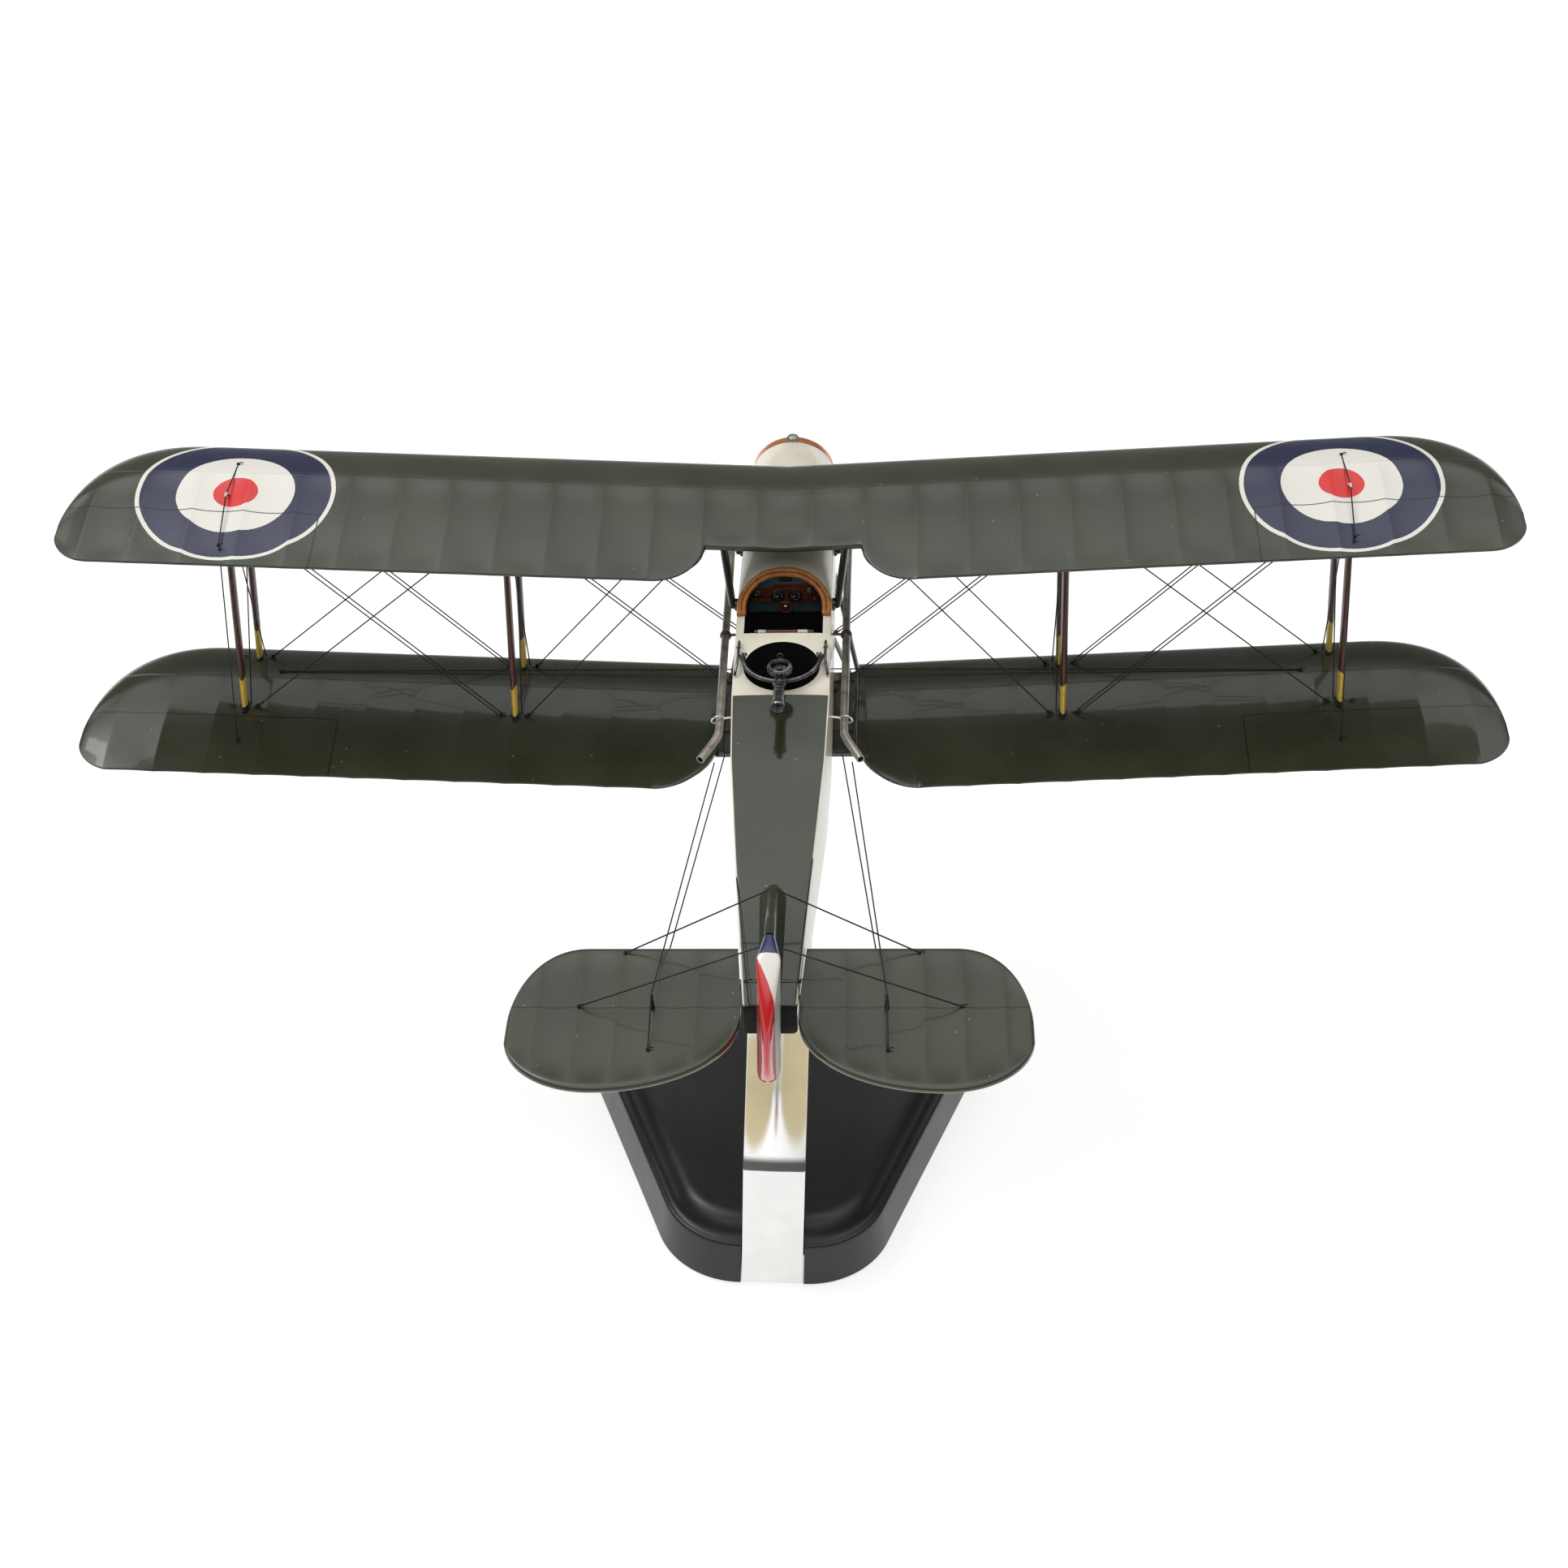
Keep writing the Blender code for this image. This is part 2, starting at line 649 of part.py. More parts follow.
def cockpit_fittings(parent):
    panel = [(-8.0, 29.0), (8.0, 29.0), (8.0, 41.5), (5.5, 44.6), (-5.5, 44.6), (-8.0, 41.5)]
    solid("instrument_panel", plate(panel, PANEL_Y, PANEL_Y + 0.9, "y"), "panel", parent)
    back = block((-7.0, -69.6, 20.0), (7.0, -68.4, 31.0))
    seat = block((-7.5, -69.6, 18.0), (7.5, -60.0, 20.4))
    legs = block((-5.0, -68.0, COCKPIT_FLOOR + GAP), (5.0, -62.0, 18.6))
    solid("pilot_seat", seat, "leather", parent, joins=[back, legs])
    stick = rod((0.0, -56.5, COCKPIT_FLOOR + GAP), (0.0, -58.0, 27.0), 0.6)
    grip = turned((0.0, -58.0, 0.0), ((26.5, 0.6), (27.3, 1.3), (28.1, 1.3), (28.9, 0.6)), "z", 10)
    solid("control_column", stick, "gunmetal", parent, joins=[grip])
    stool = ((GUNNER_FLOOR + GAP, 4.6), (19.0, 4.6), (19.4, 5.6), (21.6, 5.6), (22.2, 4.8))
    solid("gunner_seat", turned((0.0, GUNNER_Y + 3.0, 0.0), stool, "z", 16), "leather", parent)


# ---------------------------------------------------------------- gun


def hoop_bracket(side, parent):
    """A raised bar along the deck edge that an end of the hoop curls round."""
    x = side * BRACKET_X
    deck = 41.4
    top = HOOP_AXIS_Z
    bar = tube(((x, -76.5, deck), (x, -77.6, top), (x, -92.0, top), (x, -93.4, deck)), 0.5, 8)
    solid("hoop_bracket_" + SIDE_NAMES[side], bar, "gunmetal", parent)


def gun_hoop(parent):
    """A half hoop with an eye at each end and a boss for the gun's pintle at the back."""
    reach = HOOP_RADIUS - 1.2
    points = [(reach, HOOP_AXIS_Y + 0.4, HOOP_AXIS_Z)]
    for i in range(15):
        angle = math.radians(-180.0 * i / 14)
        points.append((reach * math.cos(angle), HOOP_AXIS_Y + HOOP_RADIUS * math.sin(angle), HOOP_AXIS_Z))
    points.append((-reach, HOOP_AXIS_Y + 0.4, HOOP_AXIS_Z))
    eyes = []
    for side in (1, -1):
        start = (side * 10.9, HOOP_AXIS_Y, HOOP_AXIS_Z)
        end = (side * 13.6, HOOP_AXIS_Y, HOOP_AXIS_Z)
        eyes.append(rod(start, end, 1.1, 10))
    boss = turned((0.0, PINTLE_Y, HOOP_AXIS_Z), ((-1.1, 1.9), (1.1, 1.9)), "z", 16)
    hole = turned((0.0, PINTLE_Y, HOOP_AXIS_Z), ((-3.0, 0.9), (3.0, 0.9)), "z", 16)
    origin = (0.0, HOOP_AXIS_Y, HOOP_AXIS_Z)
    bar = tube(points, HOOP_TUBE, 8)
    solid("gun_hoop", bar, "gunmetal", parent, origin, joins=eyes + [boss], cuts=[hole])


def along_gun(distance, height=0.0):
    """A point this far behind the drum's centre along the gun, and this far above its axis."""
    y = GUN_Y - distance * math.cos(GUN_RISE) + height * math.sin(GUN_RISE)
    z = GUN_Z + distance * math.sin(GUN_RISE) + height * math.cos(GUN_RISE)
    return Vector((0.0, y, z))


def gun(parent):
    pintle = ((-1.8, 0.7), (1.35, 0.7), (1.4, 1.5), (1.9, 1.5), (1.95, 0.9), (2.35, 0.9))
    origin = (0.0, PINTLE_Y, HOOP_AXIS_Z)
    solid("gun_pintle", turned(origin, pintle, "z", 16), "gunmetal", parent, origin)
    axis_drop = -0.2
    receiver = rod(along_gun(-8.0, axis_drop), along_gun(7.0, axis_drop), 1.25, 8)
    jacket = rod(along_gun(6.0, axis_drop), along_gun(20.0, axis_drop), 1.65, 16)
    muzzle = rod(along_gun(19.5, axis_drop), along_gun(23.5, axis_drop), 0.9, 12)
    grip = rod(along_gun(-8.5, -2.2), along_gun(-7.6, 1.2), 0.7, 8)
    solid("gun", receiver, "gunmetal", parent, origin, joins=[jacket, muzzle, grip])
    centre = (0.0, GUN_Y, GUN_Z + 1.5)
    drum = ((0.0, 3.9), (1.9, 3.9), (2.3, 3.4), (2.6, 1.2))
    solid("gun_drum", turned(centre, drum, "z", 24), "gunmetal", parent, origin)


# ---------------------------------------------------------------- engine and propeller


def exhaust(side, parent):
    points = [(side * 17.2, 38.0, 27.0), (side * 19.6, 36.6, 27.0), (side * 21.2, 33.6, 27.0)]
    points += [(side * 21.5, 29.0, 27.0), (side * 21.2, -60.0, 26.6), (side * 21.0, -104.0, 26.2)]
    points += [(side * 21.5, -107.6, 26.1), (side * 23.0, -111.4, 26.0), (side * 26.6, -119.0, 25.8)]
    joins = []
    for y in (-52.7, -99.5):
        joins.append(turned((side * 21.1, y, 26.5), ((-0.5, 1.75), (0.5, 1.75)), "y", 12))
        joins.append(rod((side * 16.7, y, 26.5), (side * 20.6, y, 26.5), 0.5, 8))
    solid("exhaust_" + SIDE_NAMES[side], tube(points, EXHAUST_RADIUS, 12), "exhaust", parent, joins=joins)


def blade_ring(x, sign):
    """A blade's section at x: twisted, widest half way out, thickest at the hub, with a rounded tip."""
    share = abs(x) / PROP_RADIUS
    narrow, wide = BLADE_HALF_WIDTHS
    width = narrow + (wide - narrow) * math.sin(math.pi * min(0.86 * share, 0.86))
    width *= math.sqrt(max(1.0 - max(share - 0.86, 0.0) ** 2 / 0.0205, 0.03))
    thick = 2.9 * (1.0 - share) + 0.7
    pitch = math.atan2(0.24, share + 0.36) * sign
    ring = []
    for a, b in BLADE_SECTION:
        across, deep = a * width, b * 0.5 * thick
        y = deep * math.cos(pitch) - across * math.sin(pitch)
        z = deep * math.sin(pitch) + across * math.cos(pitch)
        ring.append((x, PROP_Y + y, THRUST_Z + z))
    return ring


def propeller(parent):
    centre = (0.0, PROP_Y, THRUST_Z)
    hub = turned(centre, ((-2.6, 4.6), (-2.2, 5.0), (2.2, 5.0), (2.6, 4.6)), "y", 20)
    blades = []
    for side in (1, -1):
        blades.append(loft([blade_ring(side * share * PROP_RADIUS, side) for share in BLADE_SHARES]))
    bore = turned(centre, ((-9.0, SHAFT_RADIUS + 0.15), (9.0, SHAFT_RADIUS + 0.15)), "y", 20)
    solid("propeller", hub, "mahogany", parent, centre, joins=blades, cuts=[bore])
    boss = turned(centre, ((2.9, 3.6), (3.7, 3.6), (3.75, 2.0), (6.0, 2.0), (6.6, 1.4)), "y", 20)
    socket = turned(centre, ((0.0, SHAFT_RADIUS + 0.15), (5.0, SHAFT_RADIUS + 0.15)), "y", 20)
    solid("propeller_boss", boss, "aluminium", parent, centre, cuts=[socket])
    shaft = ((-24.0, 2.2), (-21.5, 2.2), (-21.4, SHAFT_RADIUS), (4.6, SHAFT_RADIUS))
    solid("propeller_shaft", turned(centre, shaft, "y", 20), "gunmetal", parent, centre)


# ---------------------------------------------------------------- frames and landing gear


def cabane(side, row, parent):
    y_low, y_high = {"front": (-11.0, -8.0), "rear": (-51.0, -38.5)}[row]
    half, _, shoulder, _ = fuselage_values(y_low)
    foot = Vector((side * (half + 2.0), y_low, shoulder - 2.0))
    aft = -y_high
    head = Vector((side * 22.0, y_high, upper_underside(22.0, aft) - 0.8))
    name = f"cabane_{row}_{SIDE_NAMES[side]}"
    solid(name, streamlined(foot, head, 4.6, 3.2), "olive", parent)


def centre_frame(parent):
    """The frame between the lower wings, hung under the belly on four posts, plated beside it."""
    level = UPPER_WING_Z - WING_GAP + 0.9
    side_x = LOWER_ROOT_X - 1.4
    joins = []
    ys = {"front": -STAGGER - STRUT_AFT["front"], "rear": -STAGGER - STRUT_AFT["rear"], "tail": -70.5}
    for name, y in ys.items():
        joins.append(rod((-side_x, y, level), (side_x, y, level), 1.1, 10))
        if name == "tail":
            continue
        for side in (1, -1):
            joins.append(rod((side * 15.0, y, level), (side * 15.0, y, -0.45), 1.0, 10))
    joins.append(rod((-side_x, -25.5, level), (-side_x, -71.5, level), 1.0, 10))
    for low_x in (-side_x, CENTRE_PLATE_X):
        high_x = low_x + side_x - CENTRE_PLATE_X
        joins.append(block((low_x, ys["tail"], level - 0.4), (high_x, ys["front"], level + 0.4)))
    first = rod((side_x, -25.5, level), (side_x, -71.5, level), 1.0, 10)
    solid("lower_centre_frame", first, "olive", parent, joins=joins)


def landing_gear(side, parent):
    """A V of two legs from the belly's edge down to the axle's block."""
    block_centre = Vector((side * 27.0, AXLE_Y, AXLE_Z))
    legs = []
    for y in (23.0, -17.0):
        belly = fuselage_values(y)[1]
        foot = Vector((side * 15.0, y, belly - 0.6))
        legs.append(streamlined(block_centre + Vector((0.0, y * 0.05, 0.0)), foot, 4.0, 2.2))
    hub = rod((side * 25.2, AXLE_Y, AXLE_Z), (side * 28.8, AXLE_Y, AXLE_Z), 3.0, 12)
    bore = rod((side * 20.0, AXLE_Y, AXLE_Z), (side * 34.0, AXLE_Y, AXLE_Z), AXLE_RADIUS + 0.3, 16)
    solid("gear_" + SIDE_NAMES[side], hub, "mahogany", parent, joins=legs, cuts=[bore])


def axle(parent):
    half = AXLE_HALF
    profile = [(-half, 1.9), (-half + 0.8, 1.9), (-half + 0.85, AXLE_RADIUS)]
    profile += [(half - 0.85, AXLE_RADIUS), (half - 0.8, 1.9), (half, 1.9)]
    solid("axle", turned((0.0, AXLE_Y, AXLE_Z), profile, "x", 16), "gunmetal", parent)
    fairing = turned((0.0, AXLE_Y, AXLE_Z), ((-23.6, 2.4), (23.6, 2.4)), "x", 12)
    tunnel = turned((0.0, AXLE_Y, AXLE_Z), ((-30.0, AXLE_RADIUS + 0.3), (30.0, AXLE_RADIUS + 0.3)), "x", 16)
    solid("axle_fairing", fairing, "olive", parent, cuts=[tunnel])


def wheel(side, parent):
    centre = (side * WHEEL_X, AXLE_Y, AXLE_Z)
    rim = WHEEL_RADIUS - 2.0 * TYRE_RADIUS - GAP
    cover = [(-2.3, 2.0), (-1.0, rim - 0.6), (-0.8, rim), (0.8, rim), (1.0, rim - 0.6), (2.3, 2.0)]
    bore = turned(centre, ((-9.0, AXLE_RADIUS + 0.12), (9.0, AXLE_RADIUS + 0.12)), "x", 16)
    solid("wheel_" + SIDE_NAMES[side], turned(centre, cover, "x", 28), "cream", parent, centre, cuts=[bore])
    bm = bmesh.new()
    ring_radius = WHEEL_RADIUS - TYRE_RADIUS
    section = circle((0.0, 0.0, 0.0), TYRE_RADIUS, TYRE_SIDES, "y")
    rows = []
    for i in range(TYRE_STEPS):
        turn = Matrix.Rotation(2.0 * math.pi * i / TYRE_STEPS, 3, "X")
        placed = [Vector(centre) + turn @ (p + Vector((0.0, 0.0, ring_radius))) for p in section]
        rows.append([bm.verts.new(point) for point in placed])
    for row, following in zip(rows, rows[1:] + rows[:1]):
        for j in range(TYRE_SIDES):
            k = (j + 1) % TYRE_SIDES
            bm.faces.new((row[j], row[k], following[k], following[j]))
    solid("tyre_" + SIDE_NAMES[side], bm, "rubber", parent, centre)


# ---------------------------------------------------------------- tail


def tail_outline():
    """The outer part of a tailplane half's outline, from its leading edge round to the rudder."""
    straight = 56.0
    reach = TAIL_HALF - straight
    points = [(straight, TAIL_LE_Y)]
    for i in range(1, 8):
        angle = math.radians(90.0 - 90.0 * i / 7)
        across = math.cos(angle) ** 0.9
        along = math.sin(angle) ** 0.9
        points.append((straight + reach * across, TAIL_WIDEST_Y + (TAIL_LE_Y - TAIL_WIDEST_Y) * along))
    corner_x = 52.0
    reach_out, depth = TAIL_HALF - corner_x, TAIL_WIDEST_Y - TAIL_TE_Y
    for i in range(1, 6):
        angle = math.radians(90.0 * i / 5)
        points.append((corner_x + reach_out * math.cos(angle), TAIL_WIDEST_Y - depth * math.sin(angle)))
    inner_y = -233.7
    reach_in, depth_in = corner_x - TAIL_POST_X, inner_y - TAIL_TE_Y
    for i in range(1, 8):
        angle = math.radians(90.0 - 90.0 * i / 7)
        points.append((corner_x - reach_in * math.cos(angle), inner_y - depth_in * math.sin(angle)))
    return points


def tailplane(side, parent):
    """One half of the tailplane, its root following the fuselage's side."""
    outline = []
    for y in (HINGE_Y, TAIL_LE_Y):
        outline.append((fuselage_values(y)[0] + GAP + 0.1, y))
    outline += tail_outline()
    outline.append((TAIL_POST_X, HINGE_Y - 2.0))
    outline = [(side * x, y) for x, y in outline]
    name = "tailplane_" + SIDE_NAMES[side]
    solid(name, plate(outline, TAIL_Z - 1.3, TAIL_Z + 1.3), "olive", parent)


def fin(parent):
    """Fin on the deck ahead of the rudder post, wider at its foot."""
    top = [(-180.0, 32.4), (-191.0, 36.0), (-209.0, 45.0), (HINGE_Y + 0.3, FIN_TOP)]
    foot = [(HINGE_Y + 0.3, 22.4), (-205.0, 27.0), (-180.0, 31.9)]
    solid("fin", plate(top + foot, -0.5 * FIN_THICK, 0.5 * FIN_THICK, "x"), "olive", parent)


def rudder(parent):
    front = HINGE_Y - 0.3
    outline = [(front, 3.0), (front, FIN_TOP)]
    outline += [(-236.0, 52.0), (-245.0, 48.5), (-252.0, 41.0), (-256.0, 30.0)]
    outline += [(-256.0, 18.0), (-252.0, 9.0), (-243.0, 3.4)]
    horn = rod((-7.8, front - 1.2, 33.7), (7.8, front - 1.2, 33.7), 0.6, 8)
    blade = plate(outline, -1.5, 1.5, "x")
    solid("rudder", blade, "rudder_paint", parent, joins=[horn])


def tail_skid(parent):
    points = ((0.0, -212.0, 6.6), (0.0, -220.0, 1.6), (0.0, -227.0, -6.0))
    solid("tail_skid", tube(points, 0.9, 8), "mahogany", parent)


# ---------------------------------------------------------------- stand


def base_outline(inset):
    """The base's rounded triangle, drawn in by this much."""
    tilt = math.atan(BASE_SIDE_SLOPE)
    rear_centre = (BASE_REAR_CENTRE_X, BASE_REAR_Y + BASE_REAR_RADIUS)
    points = arc(rear_centre, BASE_REAR_RADIUS - inset, -0.5 * math.pi, -tilt, 6)
    corner = BASE_CORNER - inset
    corner_y = BASE_FRONT_Y - BASE_CORNER
    side_x, side_y = points[-1]
    corner_x = side_x + (corner_y - side_y) * BASE_SIDE_SLOPE - corner / math.cos(tilt)
    points += arc((corner_x, corner_y), corner, -tilt, 0.5 * math.pi, 6)
    return points + [(-x, y) for x, y in reversed(points)]


def strip_path():
    """The strip's outer face from the end of its foot to its pad under the belly, as (y, z)."""
    rear_y = BASE_REAR_Y - STRIP_BEHIND_BASE
    heel_centre = (rear_y + STRIP_HEEL, GAP + STRIP_HEEL)
    lean = 0.5 * math.pi - STRIP_LEAN
    points = [(rear_y + FOOT_LENGTH, GAP)]
    points += arc(heel_centre, STRIP_HEEL, -0.5 * math.pi, -math.pi - STRIP_LEAN, 5)
    heel_y, heel_z = points[-1]
    bend_y = heel_y + (STRIP_UPRIGHT - heel_z) / math.tan(lean)
    bend_centre = (bend_y + STRIP_BEND * math.sin(lean), STRIP_UPRIGHT - STRIP_BEND * math.cos(lean))
    points += arc(bend_centre, STRIP_BEND, 0.5 * math.pi + lean, 0.5 * math.pi + STRIP_CLIMB, 6)
    last_y, last_z = points[-1]
    pad_z = AIRCRAFT_Z - PAD_DROP
    top_z = pad_z - STRIP_TOP_BEND * (1.0 - math.cos(STRIP_CLIMB))
    top_y = last_y + (top_z - last_z) / math.tan(STRIP_CLIMB)
    top_centre = (top_y + STRIP_TOP_BEND * math.sin(STRIP_CLIMB), pad_z - STRIP_TOP_BEND)
    points += arc(top_centre, STRIP_TOP_BEND, 0.5 * math.pi + STRIP_CLIMB, 0.5 * math.pi, 4)
    points.append((points[-1][0] + PAD_LENGTH, pad_z))
    return points


def thickened(path, thick):
    """A closed outline: the path, and the same path shifted to its inner side."""
    inner = []
    for i, point in enumerate(path):
        before, after = path[max(i - 1, 0)], path[min(i + 1, len(path) - 1)]
        direction = (Vector(after) - Vector(before)).normalized()
        inner.append((point[0] + direction.y * thick, point[1] - direction.x * thick))
    return list(path) + inner[::-1]


def base():
    """The moulded base: a slot up its back for the strip, a recess under it for the strip's foot."""
    rings = [[(x, y, z) for x, y in base_outline(inset)] for z, inset in BASE_LEVELS]
    half_slot = 0.5 * STRIP_WIDTH + SLOT_CLEARANCE
    slot = block((-half_slot, BASE_REAR_Y - 30.0, -5.0), (half_slot, BASE_REAR_Y + 11.0, BASE_HEIGHT + 5.0))
    recess = block((-half_slot, BASE_REAR_Y + 5.0, -5.0), (half_slot, BASE_REAR_Y + FOOT_LENGTH + 1.0, 3.4))
    holes = [turned((0.0, y, 0.0), ((2.0, SCREW_HOLE), (14.0, SCREW_HOLE)), "z", 16) for y in FOOT_SCREW_YS]
    solid("base", loft(rings), "base_black", cuts=[slot, recess] + holes)


def stand_strip():
    """The bent strip, with countersunk holes in its foot and plain holes in its pad."""
    path = strip_path()
    outline = thickened(path, STRIP_THICK)
    holes = []
    for y in FOOT_SCREW_YS:
        countersink = ((-4.0, 2.9), (GAP, 2.9), (GAP + 1.3, SCREW_HOLE), (8.0, SCREW_HOLE))
        holes.append(turned((0.0, y, 0.0), countersink, "z", 16))
    for y in pad_screw_ys():
        holes.append(turned((0.0, y, AIRCRAFT_Z), ((-8.0, SCREW_HOLE), (3.0, SCREW_HOLE)), "z", 16))
    blank = plate(outline, -0.5 * STRIP_WIDTH, 0.5 * STRIP_WIDTH, "x")
    solid("stand_strip", blank, "aluminium", cuts=holes)


def pad_screw_ys():
    pad_front = strip_path()[-1][0]
    return (pad_front - 5.0, pad_front - 17.0)


def stand_screws():
    for name, y in zip(("front", "rear"), sorted(FOOT_SCREW_YS, reverse=True)):
        profile = ((GAP + 0.05, 2.5), (GAP + 1.2, 1.3), (12.0, 1.3), (13.0, 0.4))
        solid("base_screw_" + name, turned((0.0, y, 0.0), profile, "z", 16), "aluminium")
    pad_top = AIRCRAFT_Z - PAD_DROP
    for name, y in zip(("front", "rear"), pad_screw_ys()):
        below = -STRIP_THICK - GAP
        profile = ((below - 1.2, 1.6), (below - 0.9, 2.6), (below, 2.6), (below + 0.02, 1.2), (6.0, 1.2))
        solid("belly_screw_" + name, turned((0.0, y, pad_top), profile, "z", 16), "aluminium")


def main():
    aircraft = make_empty("aircraft", (0.0, AIRCRAFT_Y, AIRCRAFT_Z), math.radians(-AIRCRAFT_ROLL))
    upper_wing(aircraft)
    for side in (1, -1):
        lower_wing(side, aircraft)
        interplane_struts(side, aircraft)
        for bay in STRUT_X:
            rigging(side, bay, aircraft)
        hoop_bracket(side, aircraft)
        exhaust(side, aircraft)
        for row in STRUT_AFT:
            cabane(side, row, aircraft)
        landing_gear(side, aircraft)
        wheel(side, aircraft)
        tailplane(side, aircraft)
    fuselage(aircraft)
    radiator(aircraft)
    coaming(aircraft)
    cockpit_fittings(aircraft)
    gun_hoop(aircraft)
    gun(aircraft)
    propeller(aircraft)
    centre_frame(aircraft)
    axle(aircraft)
    fin(aircraft)
    rudder(aircraft)
    tail_skid(aircraft)
    base()
    stand_strip()
    stand_screws()


clear_scene()
MATERIALS = make_materials()
main()
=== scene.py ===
"""Looks, light and camera for the biplane display model.

Shapes are given in millimetres in the aircraft's own frame, which is the one part.py draws in:
+X starboard, +Y towards the nose, +Z up, y = 0 at the upper wing's leading edge and z = 0 on the
fuselage belly. Meshes are written in world metres, so object coordinates are world coordinates.
"""

from math import atan, atan2, copysign, cos, pi, radians, sin, sqrt, tan

import bmesh
import bpy
from mathutils import Matrix, Vector


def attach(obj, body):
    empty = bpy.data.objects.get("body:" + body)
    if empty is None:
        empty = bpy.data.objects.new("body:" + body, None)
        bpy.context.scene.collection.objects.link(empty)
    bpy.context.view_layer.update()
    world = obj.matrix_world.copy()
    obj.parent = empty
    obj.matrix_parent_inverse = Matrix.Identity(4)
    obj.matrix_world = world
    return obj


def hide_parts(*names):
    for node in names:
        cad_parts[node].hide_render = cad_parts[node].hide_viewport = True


MM = 0.001
ROLL = radians(2.4)
AIRCRAFT = Matrix.Translation((0.0, 0.110, 0.168)) @ Matrix.Rotation(-ROLL, 4, "Y")
SIDES = (("left", -1), ("right", 1))

# Wings: an "aft" is measured back from the leading edge.
CHORD = 68.3
UPPER_HALF, LOWER_HALF = 249.0, 250.3
UPPER_LEVEL, LOWER_LEVEL = 60.0, -13.0
STAGGER = 23.1
DIHEDRAL = tan(radians(2.94))
INCIDENCE = sin(radians(1.42))
RIB_PITCH = 17.6
FIRST_RIB = 28.0
CENTRE_RIB = 9.8
UPPER_SLACK, LOWER_SLACK = 1.0, 0.3
TIP_REACH, TIP_SWEEP = 44.5, 54.0
BACK_REACH, BACK_SWEEP = 14.0, 14.3
NOTCH_CHORD, NOTCH_HALF, NOTCH_CORNER = 50.5, 27.0, 19.0
ROOT_X, ROOT_CORNER = 25.0, 22.0
AILERON_X, AILERON_AFT = 160.25, 41.35
ROUNDEL_X, ROUNDEL_AFT = 190.75, 31.3

# Struts and threads. The aileron, wing and deck points differ a little from side to side.
STRUT_X = {"inner": 97.5, "outer": 194.2}
STRUT_AFT = {"front": 7.9, "rear": 36.7}
STRUT_SECTION = (4.8, 3.0)
CABANE_SECTION = (4.6, 3.2)
CABANE_TOP_X = 22.0
GEAR_SECTION = (4.0, 2.3)
AILERON_KNOT = {-1: (194.1, 53.2), 1: (192.5, 54.8)}
WING_KNOT = {-1: (184.7, 17.5), 1: (182.6, 19.6)}
DECK_EXIT = {-1: (-11.6, -181.6), 1: (12.0, -174.2)}
CABLE_ROOT_Z = 10.0
CUFF = 10.5
THREAD = 0.24

# Fuselage rows: y, half width, belly, shoulder and crown.
FUSELAGE_SECTIONS = (
    (50.0, 15.4, 5.0, 25.0, 39.4),
    (36.0, 15.8, 2.0, 28.0, 43.5),
    (16.0, 16.3, 0.3, 31.0, 46.5),
    (-10.0, 16.3, 0.0, 35.0, 48.5),
    (-43.5, 16.3, 0.0, 39.5, 50.0),
    (-52.0, 16.3, 0.0, 41.0, 45.5),
    (-61.0, 16.3, 0.3, 41.0, 41.6),
    (-103.0, 16.3, 1.5, 40.0, 40.5),
    (-133.0, 15.4, 3.0, 38.0, 38.5),
    (-180.0, 12.0, 6.0, 31.0, 31.5),
    (-228.0, 8.2, 9.5, 21.0, 21.5),
)
DECK_START_Y = -103.1
TAIL_END_Y = -228.0
WELL_HALF, WELL_NOSE = 13.5, 11.0
WELL_BACK_Y, WELL_MIDDLE_Y = -70.5, -58.0
GUNNER_Y, GUNNER_RADIUS = -88.2, 12.9
PANEL_Y = -47.8
GUN_Y, GUN_Z, GUN_RISE = -101.2, 47.6, radians(7.0)
HOOP_Y, HOOP_Z, HOOP_RADIUS = -86.6, 43.4, 13.0
EXHAUST_RADIUS, EXHAUST_BORE = 1.4, 1.12
THRUST_Z = 18.0
PROP_Y = 59.0
PROP_RADIUS = 61.5
TAIL_Z = 20.0
TAIL_RIBS = (10.0, 22.3, 34.4, 46.2, 58.1, 70.3)
TAIL_ROOT, TAIL_HALF, TAIL_CURVE_X = 8.75, 79.0, 52.0
TAIL_EDGE = 1.3
FIN_LEAN = 0.03
RUDDER_MIDDLE_Z, RUDDER_RISE = 27.5, 24.5
HINGE_Y = -228.5
HORN_Y, HORN_Z = -230.2, 33.7
AXLE = (-1.0, -48.5)
WHEEL_X = 36.0

BASE_REAR_Y, BASE_FRONT_Y = -74.0, 64.0
BASE_SLOPE = 0.40
REAR_CORNER, FRONT_CORNER = 32.0, 30.0
STRIP_HALF = 11.0
STRIP_THICK = 2.4
STRIP_EASE = 0.35
STRIP_BEND_Z = 48.6
PAD_Z = 167.35


# ---------------------------------------------------------------- materials


